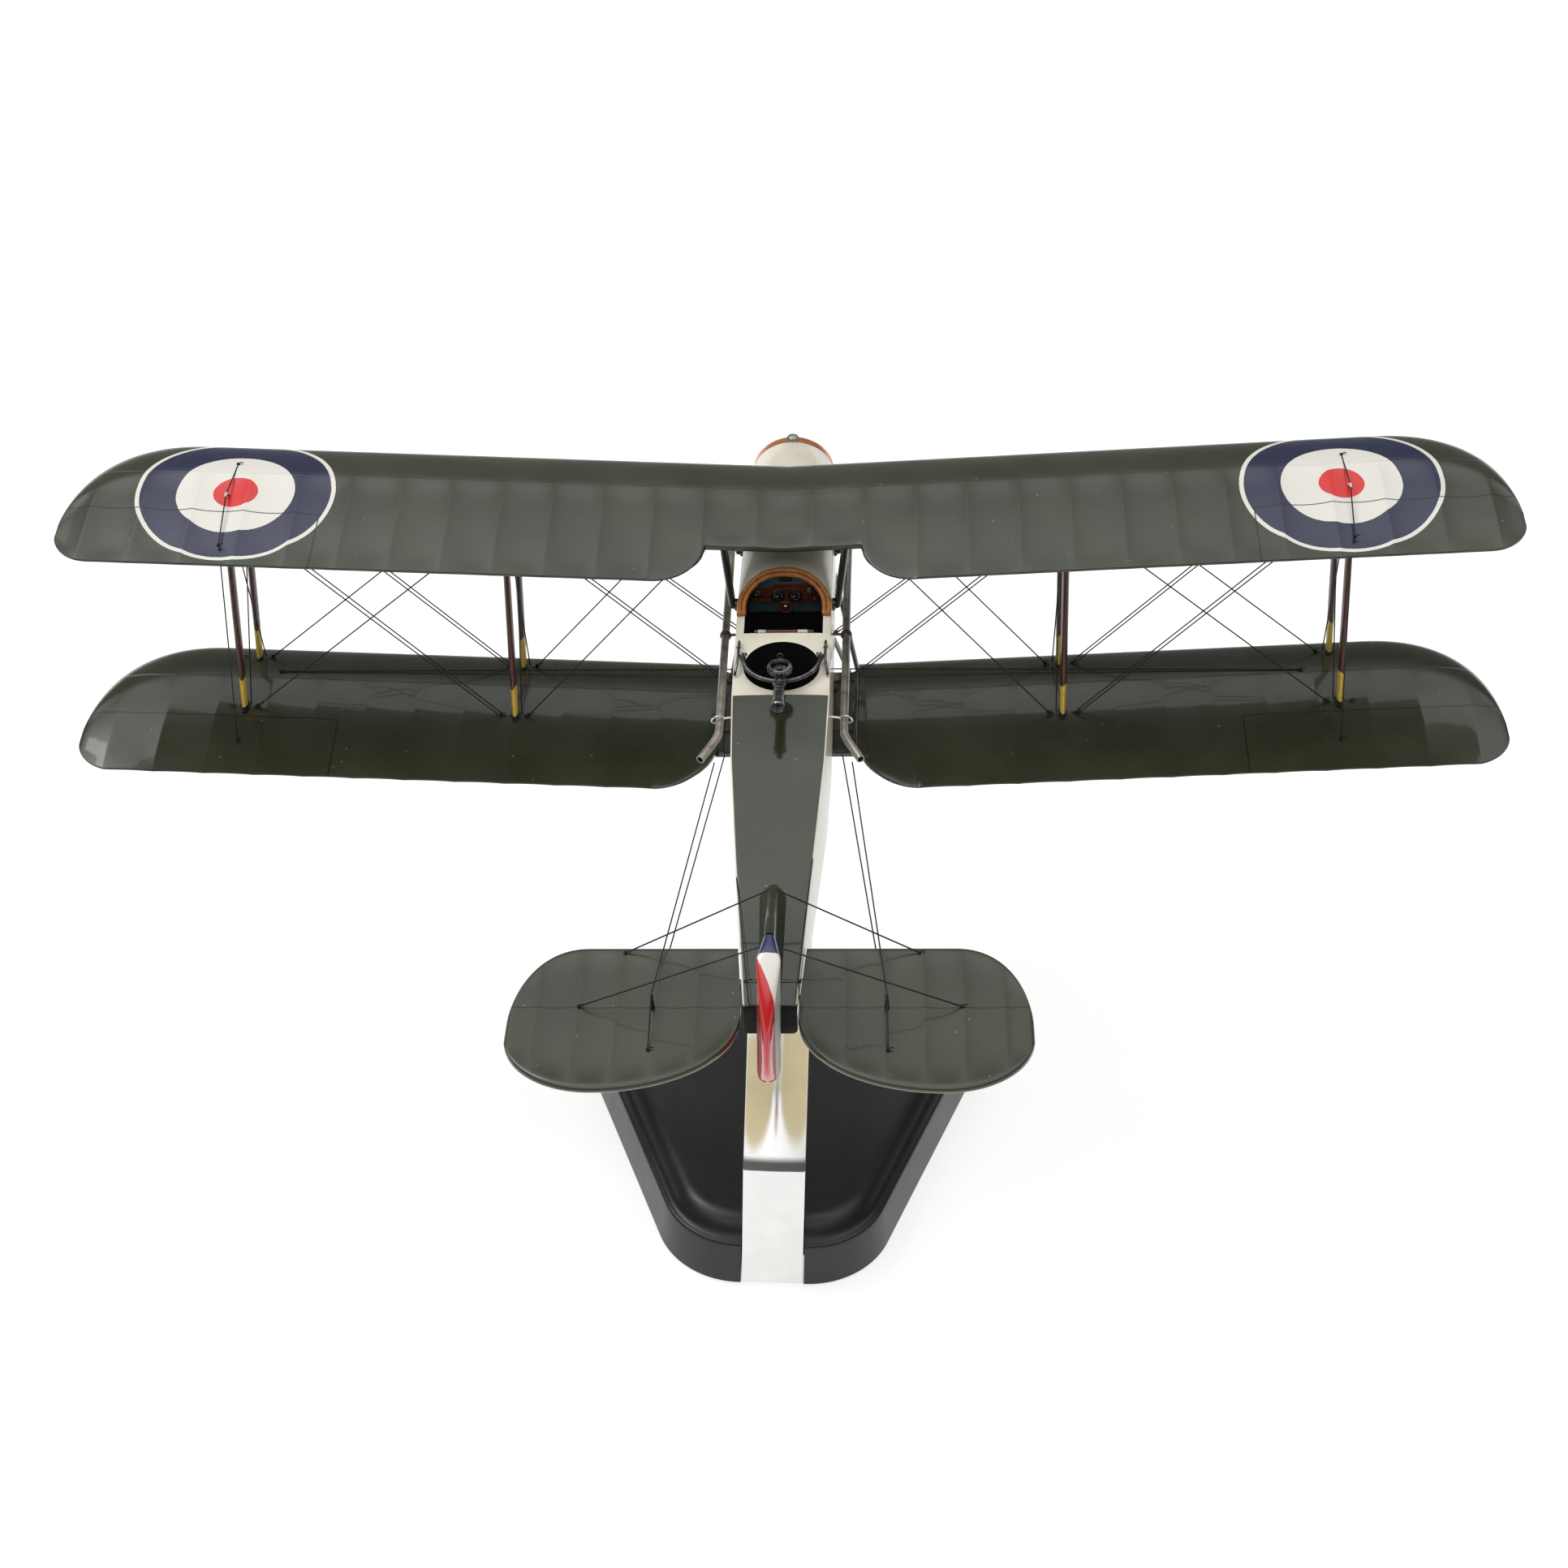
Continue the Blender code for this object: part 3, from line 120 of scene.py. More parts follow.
class Paint:
    """A node material being put together. Its coordinates are the aircraft's, in millimetres."""

    def __init__(self, name, roughness=0.5, metallic=0.0, on_stand=False):
        self.material = bpy.data.materials.new(name)
        self.material.use_nodes = True
        self.nodes = self.material.node_tree.nodes
        self.links = self.material.node_tree.links
        self.shader = self.nodes["Principled BSDF"]
        self.shader.inputs["Roughness"].default_value = roughness
        self.shader.inputs["Metallic"].default_value = metallic
        source = self.nodes.new("ShaderNodeTexCoord")
        mapping = self.nodes.new("ShaderNodeMapping")
        mapping.vector_type = "TEXTURE"
        if not on_stand:
            mapping.inputs["Location"].default_value = AIRCRAFT.translation
            mapping.inputs["Rotation"].default_value = (0.0, -ROLL, 0.0)
        mapping.inputs["Scale"].default_value = (MM, MM, MM)
        self.links.new(source.outputs["Object"], mapping.inputs["Vector"])
        self.place = mapping.outputs["Vector"]
        parts = self.nodes.new("ShaderNodeSeparateXYZ")
        self.links.new(self.place, parts.inputs[0])
        self.x, self.y, self.z = parts.outputs

    def feed(self, socket, value):
        """Gives a socket a number, a colour or another node's output."""
        if isinstance(value, bpy.types.NodeSocket):
            self.links.new(value, socket)
        else:
            socket.default_value = value

    def calc(self, operation, first, second=0.0, third=0.0):
        node = self.nodes.new("ShaderNodeMath")
        node.operation = operation
        for socket, value in zip(node.inputs, (first, second, third)):
            self.feed(socket, value)
        return node.outputs[0]

    def step(self, value, low, high):
        """0 at low and 1 at high, smooth between."""
        node = self.nodes.new("ShaderNodeMapRange")
        node.interpolation_type = "SMOOTHSTEP"
        node.inputs["From Min"].default_value = low
        node.inputs["From Max"].default_value = high
        self.feed(node.inputs["Value"], value)
        return node.outputs["Result"]

    def line(self, value, centre, half, soft=0.1):
        """1 along a line where value is near centre."""
        away = self.calc("ABSOLUTE", self.calc("SUBTRACT", value, centre))
        return self.opposite(self.step(away, half, half + soft))

    def opposite(self, share):
        return self.calc("SUBTRACT", 1.0, share)

    def both(self, first, second):
        return self.calc("MULTIPLY", first, second)

    def either(self, first, second):
        return self.calc("MAXIMUM", first, second)

    def mix(self, share, first, second):
        node = self.nodes.new("ShaderNodeMix")
        node.data_type = "RGBA"
        for socket, value in zip((node.inputs[0], node.inputs[6], node.inputs[7]), (share, first, second)):
            if isinstance(value, tuple) and len(value) == 3:
                value = (*value, 1.0)
            self.feed(socket, value)
        return node.outputs[2]

    def texture(self, kind, scale, stretch):
        """A texture node of this kind, in coordinates stretched along each axis."""
        mapping = self.nodes.new("ShaderNodeMapping")
        mapping.inputs["Scale"].default_value = stretch
        self.links.new(self.place, mapping.inputs["Vector"])
        node = self.nodes.new(kind)
        node.inputs["Scale"].default_value = scale
        self.links.new(mapping.outputs[0], node.inputs["Vector"])
        return node

    def noise(self, scale, detail=3.0, stretch=(1.0, 1.0, 1.0), roughness=0.5):
        node = self.texture("ShaderNodeTexNoise", scale, stretch)
        node.inputs["Detail"].default_value = detail
        node.inputs["Roughness"].default_value = roughness
        return node.outputs["Fac"]

    def cells(self, scale, stretch=(1.0, 1.0, 1.0), feature="F1"):
        node = self.texture("ShaderNodeTexVoronoi", scale, stretch)
        node.feature = feature
        return node.outputs["Distance"]

    def normal_up(self):
        """How far the surface faces upward, from -1 to 1."""
        geometry = self.nodes.new("ShaderNodeNewGeometry")
        parts = self.nodes.new("ShaderNodeSeparateXYZ")
        self.links.new(geometry.outputs["Normal"], parts.inputs[0])
        return parts.outputs[2]

    def specks(self, scale, size):
        """A few specks of dust."""
        return self.opposite(self.step(self.cells(scale), size * 0.6, size))

    def bump(self, height, strength, distance):
        """Adds a relief on top of those already there."""
        node = self.nodes.new("ShaderNodeBump")
        node.inputs["Strength"].default_value = strength
        node.inputs["Distance"].default_value = distance
        self.links.new(height, node.inputs["Height"])
        last = self.shader.inputs["Normal"]
        if last.is_linked:
            self.links.new(last.links[0].from_socket, node.inputs["Normal"])
        self.links.new(node.outputs[0], last)

    def colour(self, value):
        self.feed(self.shader.inputs["Base Color"], value)

    def roughness(self, low, high, share):
        """Roughness that goes from low to high as the share goes from 0 to 1."""
        span = self.calc("MULTIPLY_ADD", share, high - low, low)
        self.feed(self.shader.inputs["Roughness"], span)

    def coat(self, weight, roughness):
        self.shader.inputs["Coat Weight"].default_value = weight
        self.shader.inputs["Coat Roughness"].default_value = roughness


OLIVE = (0.026, 0.033, 0.014)
OLIVE_WORN = (0.037, 0.044, 0.022)
CREAM = (0.74, 0.69, 0.57)
NAVY = (0.012, 0.017, 0.055)
OFF_WHITE = (0.80, 0.78, 0.71)
RED = (0.72, 0.020, 0.022)
LINEN = (0.64, 0.55, 0.31)
CREAM_WORN = (0.62, 0.58, 0.47)
SCRIBED = (0.004, 0.005, 0.003)
GRAIN_ACROSS, GRAIN_UP = 0, 2
ROUNDEL_RINGS = ((34.55, OFF_WHITE), (33.0, NAVY), (20.56, OFF_WHITE), (7.8, RED))


def olive_colour(paint, dark=OLIVE, light=OLIVE_WORN):
    """Olive lacquer that varies softly from place to place, with a little dust."""
    cloud = paint.noise(0.035, 4.0)
    colour = paint.mix(paint.step(cloud, 0.35, 0.7), dark, light)
    return paint.mix(paint.calc("MULTIPLY", paint.specks(0.12, 0.05), 0.5), colour, (0.30, 0.30, 0.26))


def wing_paint(name, roughness, leading_edge, roundels):
    """Glossy lacquer over ribs, with the aileron's scribed lines and, on the upper wing, the roundels."""
    paint = Paint(name, roughness)
    across = paint.calc("ABSOLUTE", paint.x)
    aft = paint.calc("MULTIPLY_ADD", paint.y, -1.0, leading_edge)
    colour = olive_colour(paint)
    outboard = paint.step(across, AILERON_X, AILERON_X + 0.2)
    behind = paint.step(aft, AILERON_AFT, AILERON_AFT + 0.2)
    hinge = paint.both(paint.line(aft, AILERON_AFT, 0.16), outboard)
    end = paint.both(paint.line(across, AILERON_X, 0.16), behind)
    scribed = paint.either(hinge, end)
    crease = paint.line(paint.calc("MULTIPLY_ADD", paint.noise(0.05, 2.0), 0.8, aft), 21.3, 0.12, 0.35)
    if roundels:
        colour = roundel(paint, across, aft, colour)
    colour = paint.mix(paint.calc("MULTIPLY", scribed, 0.85), colour, SCRIBED)
    paint.colour(colour)
    paint.bump(paint.opposite(scribed), 0.9, 0.0004)
    paint.bump(crease, 0.5, 0.0003)
    paint.bump(paint.noise(0.55, 3.0), 0.10, 0.00012)
    paint.bump(paint.noise(0.07, 2.0), 0.12, 0.0006)
    paint.roughness(roughness * 0.8, roughness * 1.6, paint.noise(0.09, 5.0))
    paint.coat(0.5, 0.04)
    return paint.material


def roundel(paint, across, aft, ground):
    """Plain rings, on the upper side only."""
    dx = paint.calc("SUBTRACT", across, ROUNDEL_X)
    dy = paint.calc("SUBTRACT", aft, ROUNDEL_AFT)
    radius = paint.calc("SQRT", paint.calc("ADD", paint.both(dx, dx), paint.both(dy, dy)))
    ragged = paint.calc("MULTIPLY_ADD", paint.noise(0.9, 2.0), 0.25, radius)
    up = paint.step(paint.normal_up(), -0.15, -0.05)
    colour = ground
    for edge, ring in ROUNDEL_RINGS:
        inside = paint.opposite(paint.step(ragged, edge, edge + 0.12))
        colour = paint.mix(paint.both(inside, up), colour, ring)
    return colour


def plain_lacquer(name, dark, light, roughness, coat=0.3):
    """A lacquer that clouds softly between two tones."""
    paint = Paint(name, roughness)
    cloud = paint.step(paint.noise(0.06, 4.0), 0.3, 0.7)
    paint.colour(paint.mix(cloud, dark, light))
    paint.bump(paint.noise(0.6, 3.0), 0.10, 0.00015)
    paint.roughness(roughness * 0.8, roughness * 1.5, paint.noise(0.15, 4.0))
    paint.coat(coat, 0.06)
    return paint.material


def tail_paint():
    """Olive lacquer with the scribed hinge line above, and pale linen underneath."""
    paint = Paint("tail_lacquer", 0.14)
    scribed = paint.line(paint.y, HINGE_Y, 0.15)
    under = paint.opposite(paint.step(paint.normal_up(), -0.5, -0.3))
    colour = paint.mix(under, olive_colour(paint), LINEN)
    paint.colour(paint.mix(paint.calc("MULTIPLY", scribed, 0.8), colour, (0.005, 0.006, 0.004)))
    paint.bump(paint.opposite(scribed), 0.8, 0.0004)
    paint.bump(paint.noise(0.55, 3.0), 0.12, 0.00015)
    paint.roughness(0.24, 0.44, paint.noise(0.12, 5.0))
    paint.coat(0.5, 0.05)
    return paint.material


def fuselage_paint():
    """Cream sides and forward decking; olive on the aft deck, inside a thin cream edge that tapers; the end
    face is painted near black as painted shade.
    """
    paint = Paint("fuselage_paint", 0.3)
    across = paint.calc("ABSOLUTE", paint.x)
    half = paint.calc("MULTIPLY_ADD", paint.y, 0.03, 19.39)
    half = paint.calc("MINIMUM", half, paint.calc("MULTIPLY_ADD", paint.y, 0.0723, 25.02))
    half = paint.calc("MINIMUM", half, paint.calc("MULTIPLY_ADD", paint.y, 0.0792, 26.26))
    inside = paint.step(paint.calc("SUBTRACT", half, across), 0.35, 0.5)
    behind = paint.opposite(paint.step(paint.y, DECK_START_Y - 0.1, DECK_START_Y + 0.1))
    upward = paint.step(paint.normal_up(), 0.55, 0.7)
    deck = paint.both(paint.both(inside, behind), upward)
    grime = paint.step(paint.noise(0.09, 5.0), 0.45, 0.8)
    cream = paint.mix(grime, CREAM, CREAM_WORN)
    olive = olive_colour(paint, (0.022, 0.027, 0.013), (0.031, 0.036, 0.020))
    # Painted shade: the fuselage's end face is painted near black, for the shadow there.
    shaded_tail_end = paint.opposite(paint.step(paint.y, -227.6, -227.2))
    paint.colour(paint.mix(shaded_tail_end, paint.mix(deck, cream, olive), (0.002, 0.002, 0.002)))
    seam = paint.line(paint.y, DECK_START_Y, 0.12)
    paint.bump(paint.opposite(seam), 0.5, 0.0003)
    paint.bump(paint.noise(0.5, 3.0), 0.10, 0.00015)
    paint.roughness(0.13, 0.34, paint.opposite(deck))
    paint.coat(0.35, 0.03)
    return paint.material


def lining_paint():
    """Black inside the wells, and blue high up ahead of the pilot."""
    paint = Paint("cockpit_lining", 0.5)
    high = paint.step(paint.z, 33.0, 33.4)
    forward = paint.step(paint.y, -51.0, -49.5)
    blue = paint.mix(paint.noise(0.4, 3.0), (0.035, 0.065, 0.085), (0.055, 0.090, 0.115))
    paint.colour(paint.mix(paint.both(high, forward), (0.010, 0.010, 0.010), blue))
    paint.bump(paint.noise(1.2, 3.0), 0.25, 0.0002)
    return paint.material


def wood(name, dark, light, grain_axis, roughness=0.25, coat=0.5):
    """Varnished wood with grain along one axis."""
    stretch = [1.6, 1.6, 1.6]
    stretch[grain_axis] = 0.12
    paint = Paint(name, roughness)
    grain = paint.noise(0.9, 6.0, tuple(stretch), 0.65)
    pores = paint.noise(3.5, 3.0, tuple(stretch), 0.6)
    colour = paint.mix(paint.step(grain, 0.35, 0.65), dark, light)
    colour = paint.mix(paint.step(pores, 0.60, 0.72), colour, tuple(0.35 * c for c in dark))
    paint.colour(colour)
    paint.bump(grain, 0.15, 0.0002)
    paint.coat(coat, 0.08)
    return paint.material


def strut_paint():
    """Mahogany struts whose feet are dipped in yellow, up to a wavy hand-painted edge."""
    paint = Paint("strut_mahogany", 0.28)
    grain = paint.noise(0.9, 6.0, (1.6, 1.6, 0.12), 0.65)
    pores = paint.noise(3.2, 3.0, (1.6, 1.6, 0.15), 0.6)
    brown = paint.mix(paint.step(grain, 0.35, 0.65), (0.050, 0.013, 0.008), (0.120, 0.032, 0.018))
    brown = paint.mix(paint.step(pores, 0.60, 0.75), brown, (0.030, 0.008, 0.005))
    across = paint.calc("ABSOLUTE", paint.x)
    foot = paint.calc("MULTIPLY_ADD", across, DIHEDRAL, LOWER_LEVEL + 5.0)
    height = paint.calc("SUBTRACT", paint.z, foot)
    wave = paint.calc("MULTIPLY", paint.calc("SINE", paint.calc("MULTIPLY", paint.x, 2.1)), 0.5)
    height = paint.calc("ADD", height, wave)
    painted = paint.opposite(paint.step(height, CUFF, CUFF + 0.25))
    cloud = paint.step(paint.noise(0.5, 4.0), 0.35, 0.75)
    yellow = paint.mix(cloud, (0.86, 0.60, 0.08), (0.72, 0.47, 0.06))
    paint.colour(paint.mix(painted, brown, yellow))
    paint.bump(grain, 0.2, 0.0002)
    paint.coat(0.15, 0.1)
    return paint.material


def metal(name, colour, roughness, worn=None, metallic=1.0):
    """Metal with fine scratches and, if worn is given, patches of another tone."""
    paint = Paint(name, roughness, metallic)
    cloud = paint.step(paint.noise(0.25, 5.0), 0.4, 0.75)
    paint.colour(paint.mix(cloud, colour, worn or tuple(0.8 * c for c in colour)))
    paint.roughness(roughness * 0.75, roughness * 1.5, paint.noise(0.6, 5.0))
    paint.bump(paint.noise(2.0, 4.0), 0.12, 0.0002)
    return paint.material


def strip_metal():
    """Polished aluminium strip: faint lines along its length and slight unevenness."""
    paint = Paint("polished_strip", 0.14, 1.0, on_stand=True)
    lines = paint.noise(1.2, 4.0, (0.10, 3.0, 3.0), 0.6)
    cloud = paint.step(paint.noise(0.05, 3.0), 0.35, 0.7)
    paint.colour(paint.mix(cloud, (0.82, 0.81, 0.80), (0.76, 0.75, 0.74)))
    paint.roughness(0.05, 0.13, lines)
    paint.bump(lines, 0.035, 0.0001)
    paint.bump(paint.noise(0.05, 2.0), 0.04, 0.0004)
    return paint.material


def moulded_black():
    """The base's satin black, with a fine moulded grain."""
    paint = Paint("moulded_black", 0.34, on_stand=True)
    cloud = paint.step(paint.noise(0.04, 4.0), 0.3, 0.8)
    paint.colour(paint.mix(cloud, (0.006, 0.006, 0.0065), (0.010, 0.010, 0.0105)))
    paint.roughness(0.26, 0.40, paint.noise(0.12, 4.0))
    paint.bump(paint.noise(2.4), 0.10, 0.0001)
    return paint.material


def leather():
    """Tan leather with a fine grain, darker in its creases."""
    paint = Paint("tan_leather", 0.42)
    grain = paint.cells(1.6)
    cloud = paint.step(paint.noise(0.35, 5.0), 0.3, 0.75)
    colour = paint.mix(cloud, (0.46, 0.165, 0.028), (0.30, 0.100, 0.018))
    creases = paint.opposite(paint.step(grain, 0.05, 0.25))
    paint.colour(paint.mix(creases, colour, (0.20, 0.065, 0.015)))
    paint.bump(grain, 0.35, 0.0002)
    paint.coat(0.15, 0.2)
    return paint.material


def thread_paint():
    """Black waxed thread, laid in two strands."""
    paint = Paint("black_thread", 0.55)
    across = paint.calc("ADD", paint.calc("MULTIPLY", paint.x, 3.0), paint.calc("MULTIPLY", paint.z, 6.0))
    wave = paint.calc("SINE", paint.calc("ADD", across, paint.calc("MULTIPLY", paint.y, 6.0)))
    paint.colour(paint.mix(paint.step(wave, -1.0, 1.0), (0.003, 0.003, 0.003), (0.010, 0.009, 0.009)))
    paint.bump(wave, 0.5, 0.0001)
    return paint.material


def rubber():
    """Pale grey tyres."""
    paint = Paint("tyre_rubber", 0.7)
    paint.colour(paint.mix(paint.noise(0.5, 5.0), (0.17, 0.165, 0.155), (0.25, 0.24, 0.22)))
    paint.bump(paint.noise(1.5, 4.0), 0.3, 0.0002)
    return paint.material


def honeycomb():
    """The radiator's core: small cells between metal walls, their insides painted near black as painted
    shade.
    """
    paint = Paint("radiator_cells", 0.4, 0.8)
    wall = paint.step(paint.cells(0.9, (1.0, 0.05, 1.0), "DISTANCE_TO_EDGE"), 0.06, 0.16)
    # Painted shade: the middle of each cell is near black, for the shadow inside its open tube.
    paint.colour(paint.mix(wall, (0.42, 0.40, 0.36), (0.012, 0.012, 0.012)))
    paint.bump(paint.opposite(wall), 0.8, 0.0005)
    return paint.material


def rudder_paint():
    """Three upright stripes: blue ahead, white, and red behind, whose edge slants across the rudder."""
    paint = Paint("rudder_stripes", 0.2)
    wander = paint.calc("MULTIPLY_ADD", paint.noise(0.5, 2.0), 0.5, paint.y)
    ahead = paint.step(wander, -235.9, -235.7)
    slanted = paint.calc("MULTIPLY_ADD", paint.x, 2.2, wander)
    behind = paint.opposite(paint.step(slanted, -242.6, -242.4))
    colour = paint.mix(ahead, OFF_WHITE, (0.02, 0.03, 0.11))
    paint.colour(paint.mix(behind, colour, (0.60, 0.016, 0.018)))
    paint.bump(paint.noise(0.4, 3.0), 0.12, 0.0002)
    paint.roughness(0.12, 0.28, paint.noise(0.2, 4.0))
    paint.coat(0.5, 0.05)
    return paint.material


def make_materials():
    """Every paint, by the short name that the pieces use."""
    return {
        "upper": wing_paint("upper_wing_lacquer", 0.34, 0.0, True),
        "lower": wing_paint("lower_wing_lacquer", 0.20, -STAGGER, False),
        "tail": tail_paint(),
        "olive": plain_lacquer("olive_lacquer", OLIVE, OLIVE_WORN, 0.18),
        "frame": plain_lacquer("dark_green_metal", (0.007, 0.010, 0.005), (0.014, 0.018, 0.010), 0.25),
        "fuselage": fuselage_paint(),
        "lining": lining_paint(),
        "cover": plain_lacquer("cream_cover", CREAM, CREAM_WORN, 0.35),
        "blue": plain_lacquer("cockpit_blue", (0.035, 0.068, 0.090), (0.060, 0.098, 0.125), 0.4),
        "board": wood("instrument_board", (0.070, 0.016, 0.010), (0.150, 0.045, 0.024), GRAIN_ACROSS, 0.3),
        "strut": strut_paint(),
        "prop": wood("propeller_wood", (0.090, 0.026, 0.010), (0.240, 0.085, 0.030), GRAIN_ACROSS, 0.2, 0.8),
        "mahogany": wood("mahogany", (0.075, 0.018, 0.010), (0.165, 0.045, 0.024), GRAIN_UP),
        "copper": metal("copper_paint", (0.72, 0.30, 0.13), 0.3, (0.56, 0.22, 0.09), 0.7),
        "steel": metal("steel", (0.42, 0.42, 0.42), 0.3, (0.25, 0.25, 0.25)),
        "gun": metal("gunmetal", (0.085, 0.085, 0.09), 0.27, (0.34, 0.34, 0.34)),
        "bright": metal("bright_metal", (0.80, 0.79, 0.77), 0.2, (0.62, 0.61, 0.60)),
        "exhaust": metal("exhaust_metal", (0.40, 0.38, 0.34), 0.36, (0.24, 0.215, 0.18), 0.9),
        # Near black: soot inside the exhaust ends, and painted shade on the cap at the fuselage's end.
        "soot_and_shade": plain_lacquer("soot_and_shade", (0.003, 0.003, 0.003), (0.006, 0.006, 0.005), 0.8, 0.0),
        "rusty": metal("rusty_strap", (0.16, 0.11, 0.09), 0.5, (0.07, 0.05, 0.045), 0.6),
        # Dark metal for shoes, eyes, horns, hinges and the stick; also the painted shade of the panel's
        # recess.
        "dark": plain_lacquer("dark_metal", (0.010, 0.010, 0.010), (0.022, 0.021, 0.020), 0.35, 0.2),
        "dial": plain_lacquer("dial_face", (0.012, 0.012, 0.014), (0.02, 0.02, 0.022), 0.25, 0.8),
        "white": plain_lacquer("white_mark", (0.70, 0.70, 0.66), (0.58, 0.58, 0.55), 0.4),
        "leather": leather(),
        "seat": plain_lacquer("brown_leather", (0.090, 0.028, 0.014), (0.16, 0.055, 0.026), 0.45),
        "thread": thread_paint(),
        "rubber": rubber(),
        "cells": honeycomb(),
        "rudder": rudder_paint(),
        "strip": strip_metal(),
        "base": moulded_black(),
    }


# ---------------------------------------------------------------- pieces


def make_object(name, bm, material, aircraft=True):
    """An object from a mesh in millimetres, in the aircraft's frame or in the stand's."""
    bmesh.ops.recalc_face_normals(bm, faces=bm.faces[:])
    place = Matrix.Scale(MM, 4)
    if aircraft:
        place = AIRCRAFT @ place
    bmesh.ops.transform(bm, matrix=place, verts=bm.verts[:])
    mesh = bpy.data.meshes.new(name)
    bm.to_mesh(mesh)
    bm.free()
    mesh.materials.append(PAINTS[material])
    obj = bpy.data.objects.new(name, mesh)
    bpy.context.scene.collection.objects.link(obj)
    return obj


def make_piece(name, bm, material, body="airframe", stands_for=(), aircraft=True, sharp=40.0):
    """A piece that rides on a CAD body and may stand for some of its nodes."""
    piece = make_object(name, bm, material, aircraft)
    piece.data.shade_smooth()
    piece.data.set_sharp_from_angle(angle=radians(sharp))
    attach(piece, body)
    if stands_for:
        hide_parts(*stands_for)
    return piece


def loft(rings, caps=True, closed=False):
    """A skin through rings of equal length; closed joins the last ring to the first."""
    bm = bmesh.new()
    rows = [[bm.verts.new(point) for point in ring] for ring in rings]
    count = len(rows[0])
    following = rows[1:] + (rows[:1] if closed else [])
    for row, after in zip(rows, following):
        for i in range(count):
            j = (i + 1) % count
            bm.faces.new((row[i], row[j], after[j], after[i]))
    if caps and not closed:
        bm.faces.new(rows[0][::-1])
        bm.faces.new(rows[-1])
    return bm


def joined(*meshes):
    """Several meshes as one, each keeping its own shape."""
    whole = bmesh.new()
    for bm in meshes:
        copy = bpy.data.meshes.new("joining")
        bm.to_mesh(copy)
        bm.free()
        whole.from_mesh(copy)
        bpy.data.meshes.remove(copy)
    return whole


def angles_round(count):
    return [2.0 * pi * i / count for i in range(count)]


def round_points(centre, turn, radius, sides):
    """A circle's points, laid flat and then turned."""
    points = []
    for angle in angles_round(sides):
        offset = Vector((radius * cos(angle), radius * sin(angle), 0.0))
        points.append(centre + turn @ offset)
    return points


def arc(centre, radius, start, end, steps):
    """Points along part of a circle in a plane."""
    points = []
    for i in range(steps + 1):
        angle = start + (end - start) * i / steps
        points.append((centre[0] + radius * cos(angle), centre[1] + radius * sin(angle)))
    return points


def circle(centre, direction, radius, sides):
    """Points round a circle about any direction."""
    turn = Vector((0.0, 0.0, 1.0)).rotation_difference(Vector(direction))
    return round_points(Vector(centre), turn, radius, sides)


def turned(start, direction, profile, sides=32):
    """A turned shape: profile is (distance along the direction, radius)."""
    direction = Vector(direction).normalized()
    rings = []
    for along, radius in profile:
        rings.append(circle(Vector(start) + direction * along, direction, radius, sides))
    return loft(rings)


def smooth_path(points, per_span):
    """A Catmull-Rom curve through the points."""
    points = [Vector(p) for p in points]
    ends = [points[0] * 2.0 - points[1]] + points + [points[-1] * 2.0 - points[-2]]
    path = []
    for a, b, c, d in zip(ends, ends[1:], ends[2:], ends[3:]):
        for i in range(per_span):
            t = i / per_span
            squared = (2 * a - 5 * b + 4 * c - d) * t**2
            cubed = (3 * b - a - 3 * c + d) * t**3
            path.append(0.5 * (2 * b + (c - a) * t + squared + cubed))
    return path + [points[-1]]


def tube(points, radius, sides=12, caps=True):
    """A round bar along points; radius may be a number or one number per point."""
    points = [Vector(p) for p in points]
    radii = radius if isinstance(radius, list) else [radius] * len(points)
    rings = []
    turn, previous = None, None
    for i, point in enumerate(points):
        direction = (points[min(i + 1, len(points) - 1)] - points[max(i - 1, 0)]).normalized()
        if turn is None:
            turn = Vector((0.0, 0.0, 1.0)).rotation_difference(direction)
        else:
            turn = previous.rotation_difference(direction) @ turn
        previous = direction
        rings.append(round_points(point, turn, radii[i], sides))
    return loft(rings, caps)


def ring_bar(centre, direction, radius, bar, steps=24, sides=8):
    """A closed ring of round bar."""
    centre_points = circle(centre, direction, radius, steps)
    direction = Vector(direction).normalized()
    rings = []
    for point in centre_points:
        outward = (point - Vector(centre)).normalized()
        ring = []
        for angle in angles_round(sides):
            ring.append(point + bar * (outward * cos(angle) + direction * sin(angle)))
        rings.append(ring)
    return loft(rings, closed=True)


def slab(low, high, edge=0.3, segments=2):
    """A box with rounded edges."""
    bm = bmesh.new()
    bmesh.ops.create_cube(bm, size=1.0)
    size = [h - l for l, h in zip(low, high)]
    middle = [0.5 * (l + h) for l, h in zip(low, high)]
    bmesh.ops.scale(bm, vec=size, verts=bm.verts[:])
    bmesh.ops.translate(bm, vec=middle, verts=bm.verts[:])
    bmesh.ops.bevel(bm, geom=bm.edges[:], offset=edge, segments=segments, profile=0.5, affect="EDGES")
    return bm


def cut_and_finish(obj, cutters, bevel=0.0):
    """Applies Booleans, then a small bevel, and removes the cutters."""
    for cutter in cutters:
        modifier = obj.modifiers.new("cut", "BOOLEAN")
        modifier.operation = "DIFFERENCE"
        modifier.solver = "EXACT"
        modifier.material_mode = "TRANSFER"
        modifier.object = cutter
    if bevel:
        modifier = obj.modifiers.new("edges", "BEVEL")
        modifier.width = bevel * MM
        modifier.segments = 2
        modifier.limit_method = "ANGLE"
        modifier.angle_limit = radians(40.0)
        modifier.harden_normals = True
    bpy.context.view_layer.update()
    graph = bpy.context.evaluated_depsgraph_get()
    finished = bpy.data.meshes.new_from_object(obj.evaluated_get(graph))
    obj.modifiers.clear()
    obj.data = finished
    for cutter in cutters:
        bpy.data.objects.remove(cutter, do_unlink=True)


# ---------------------------------------------------------------- wings

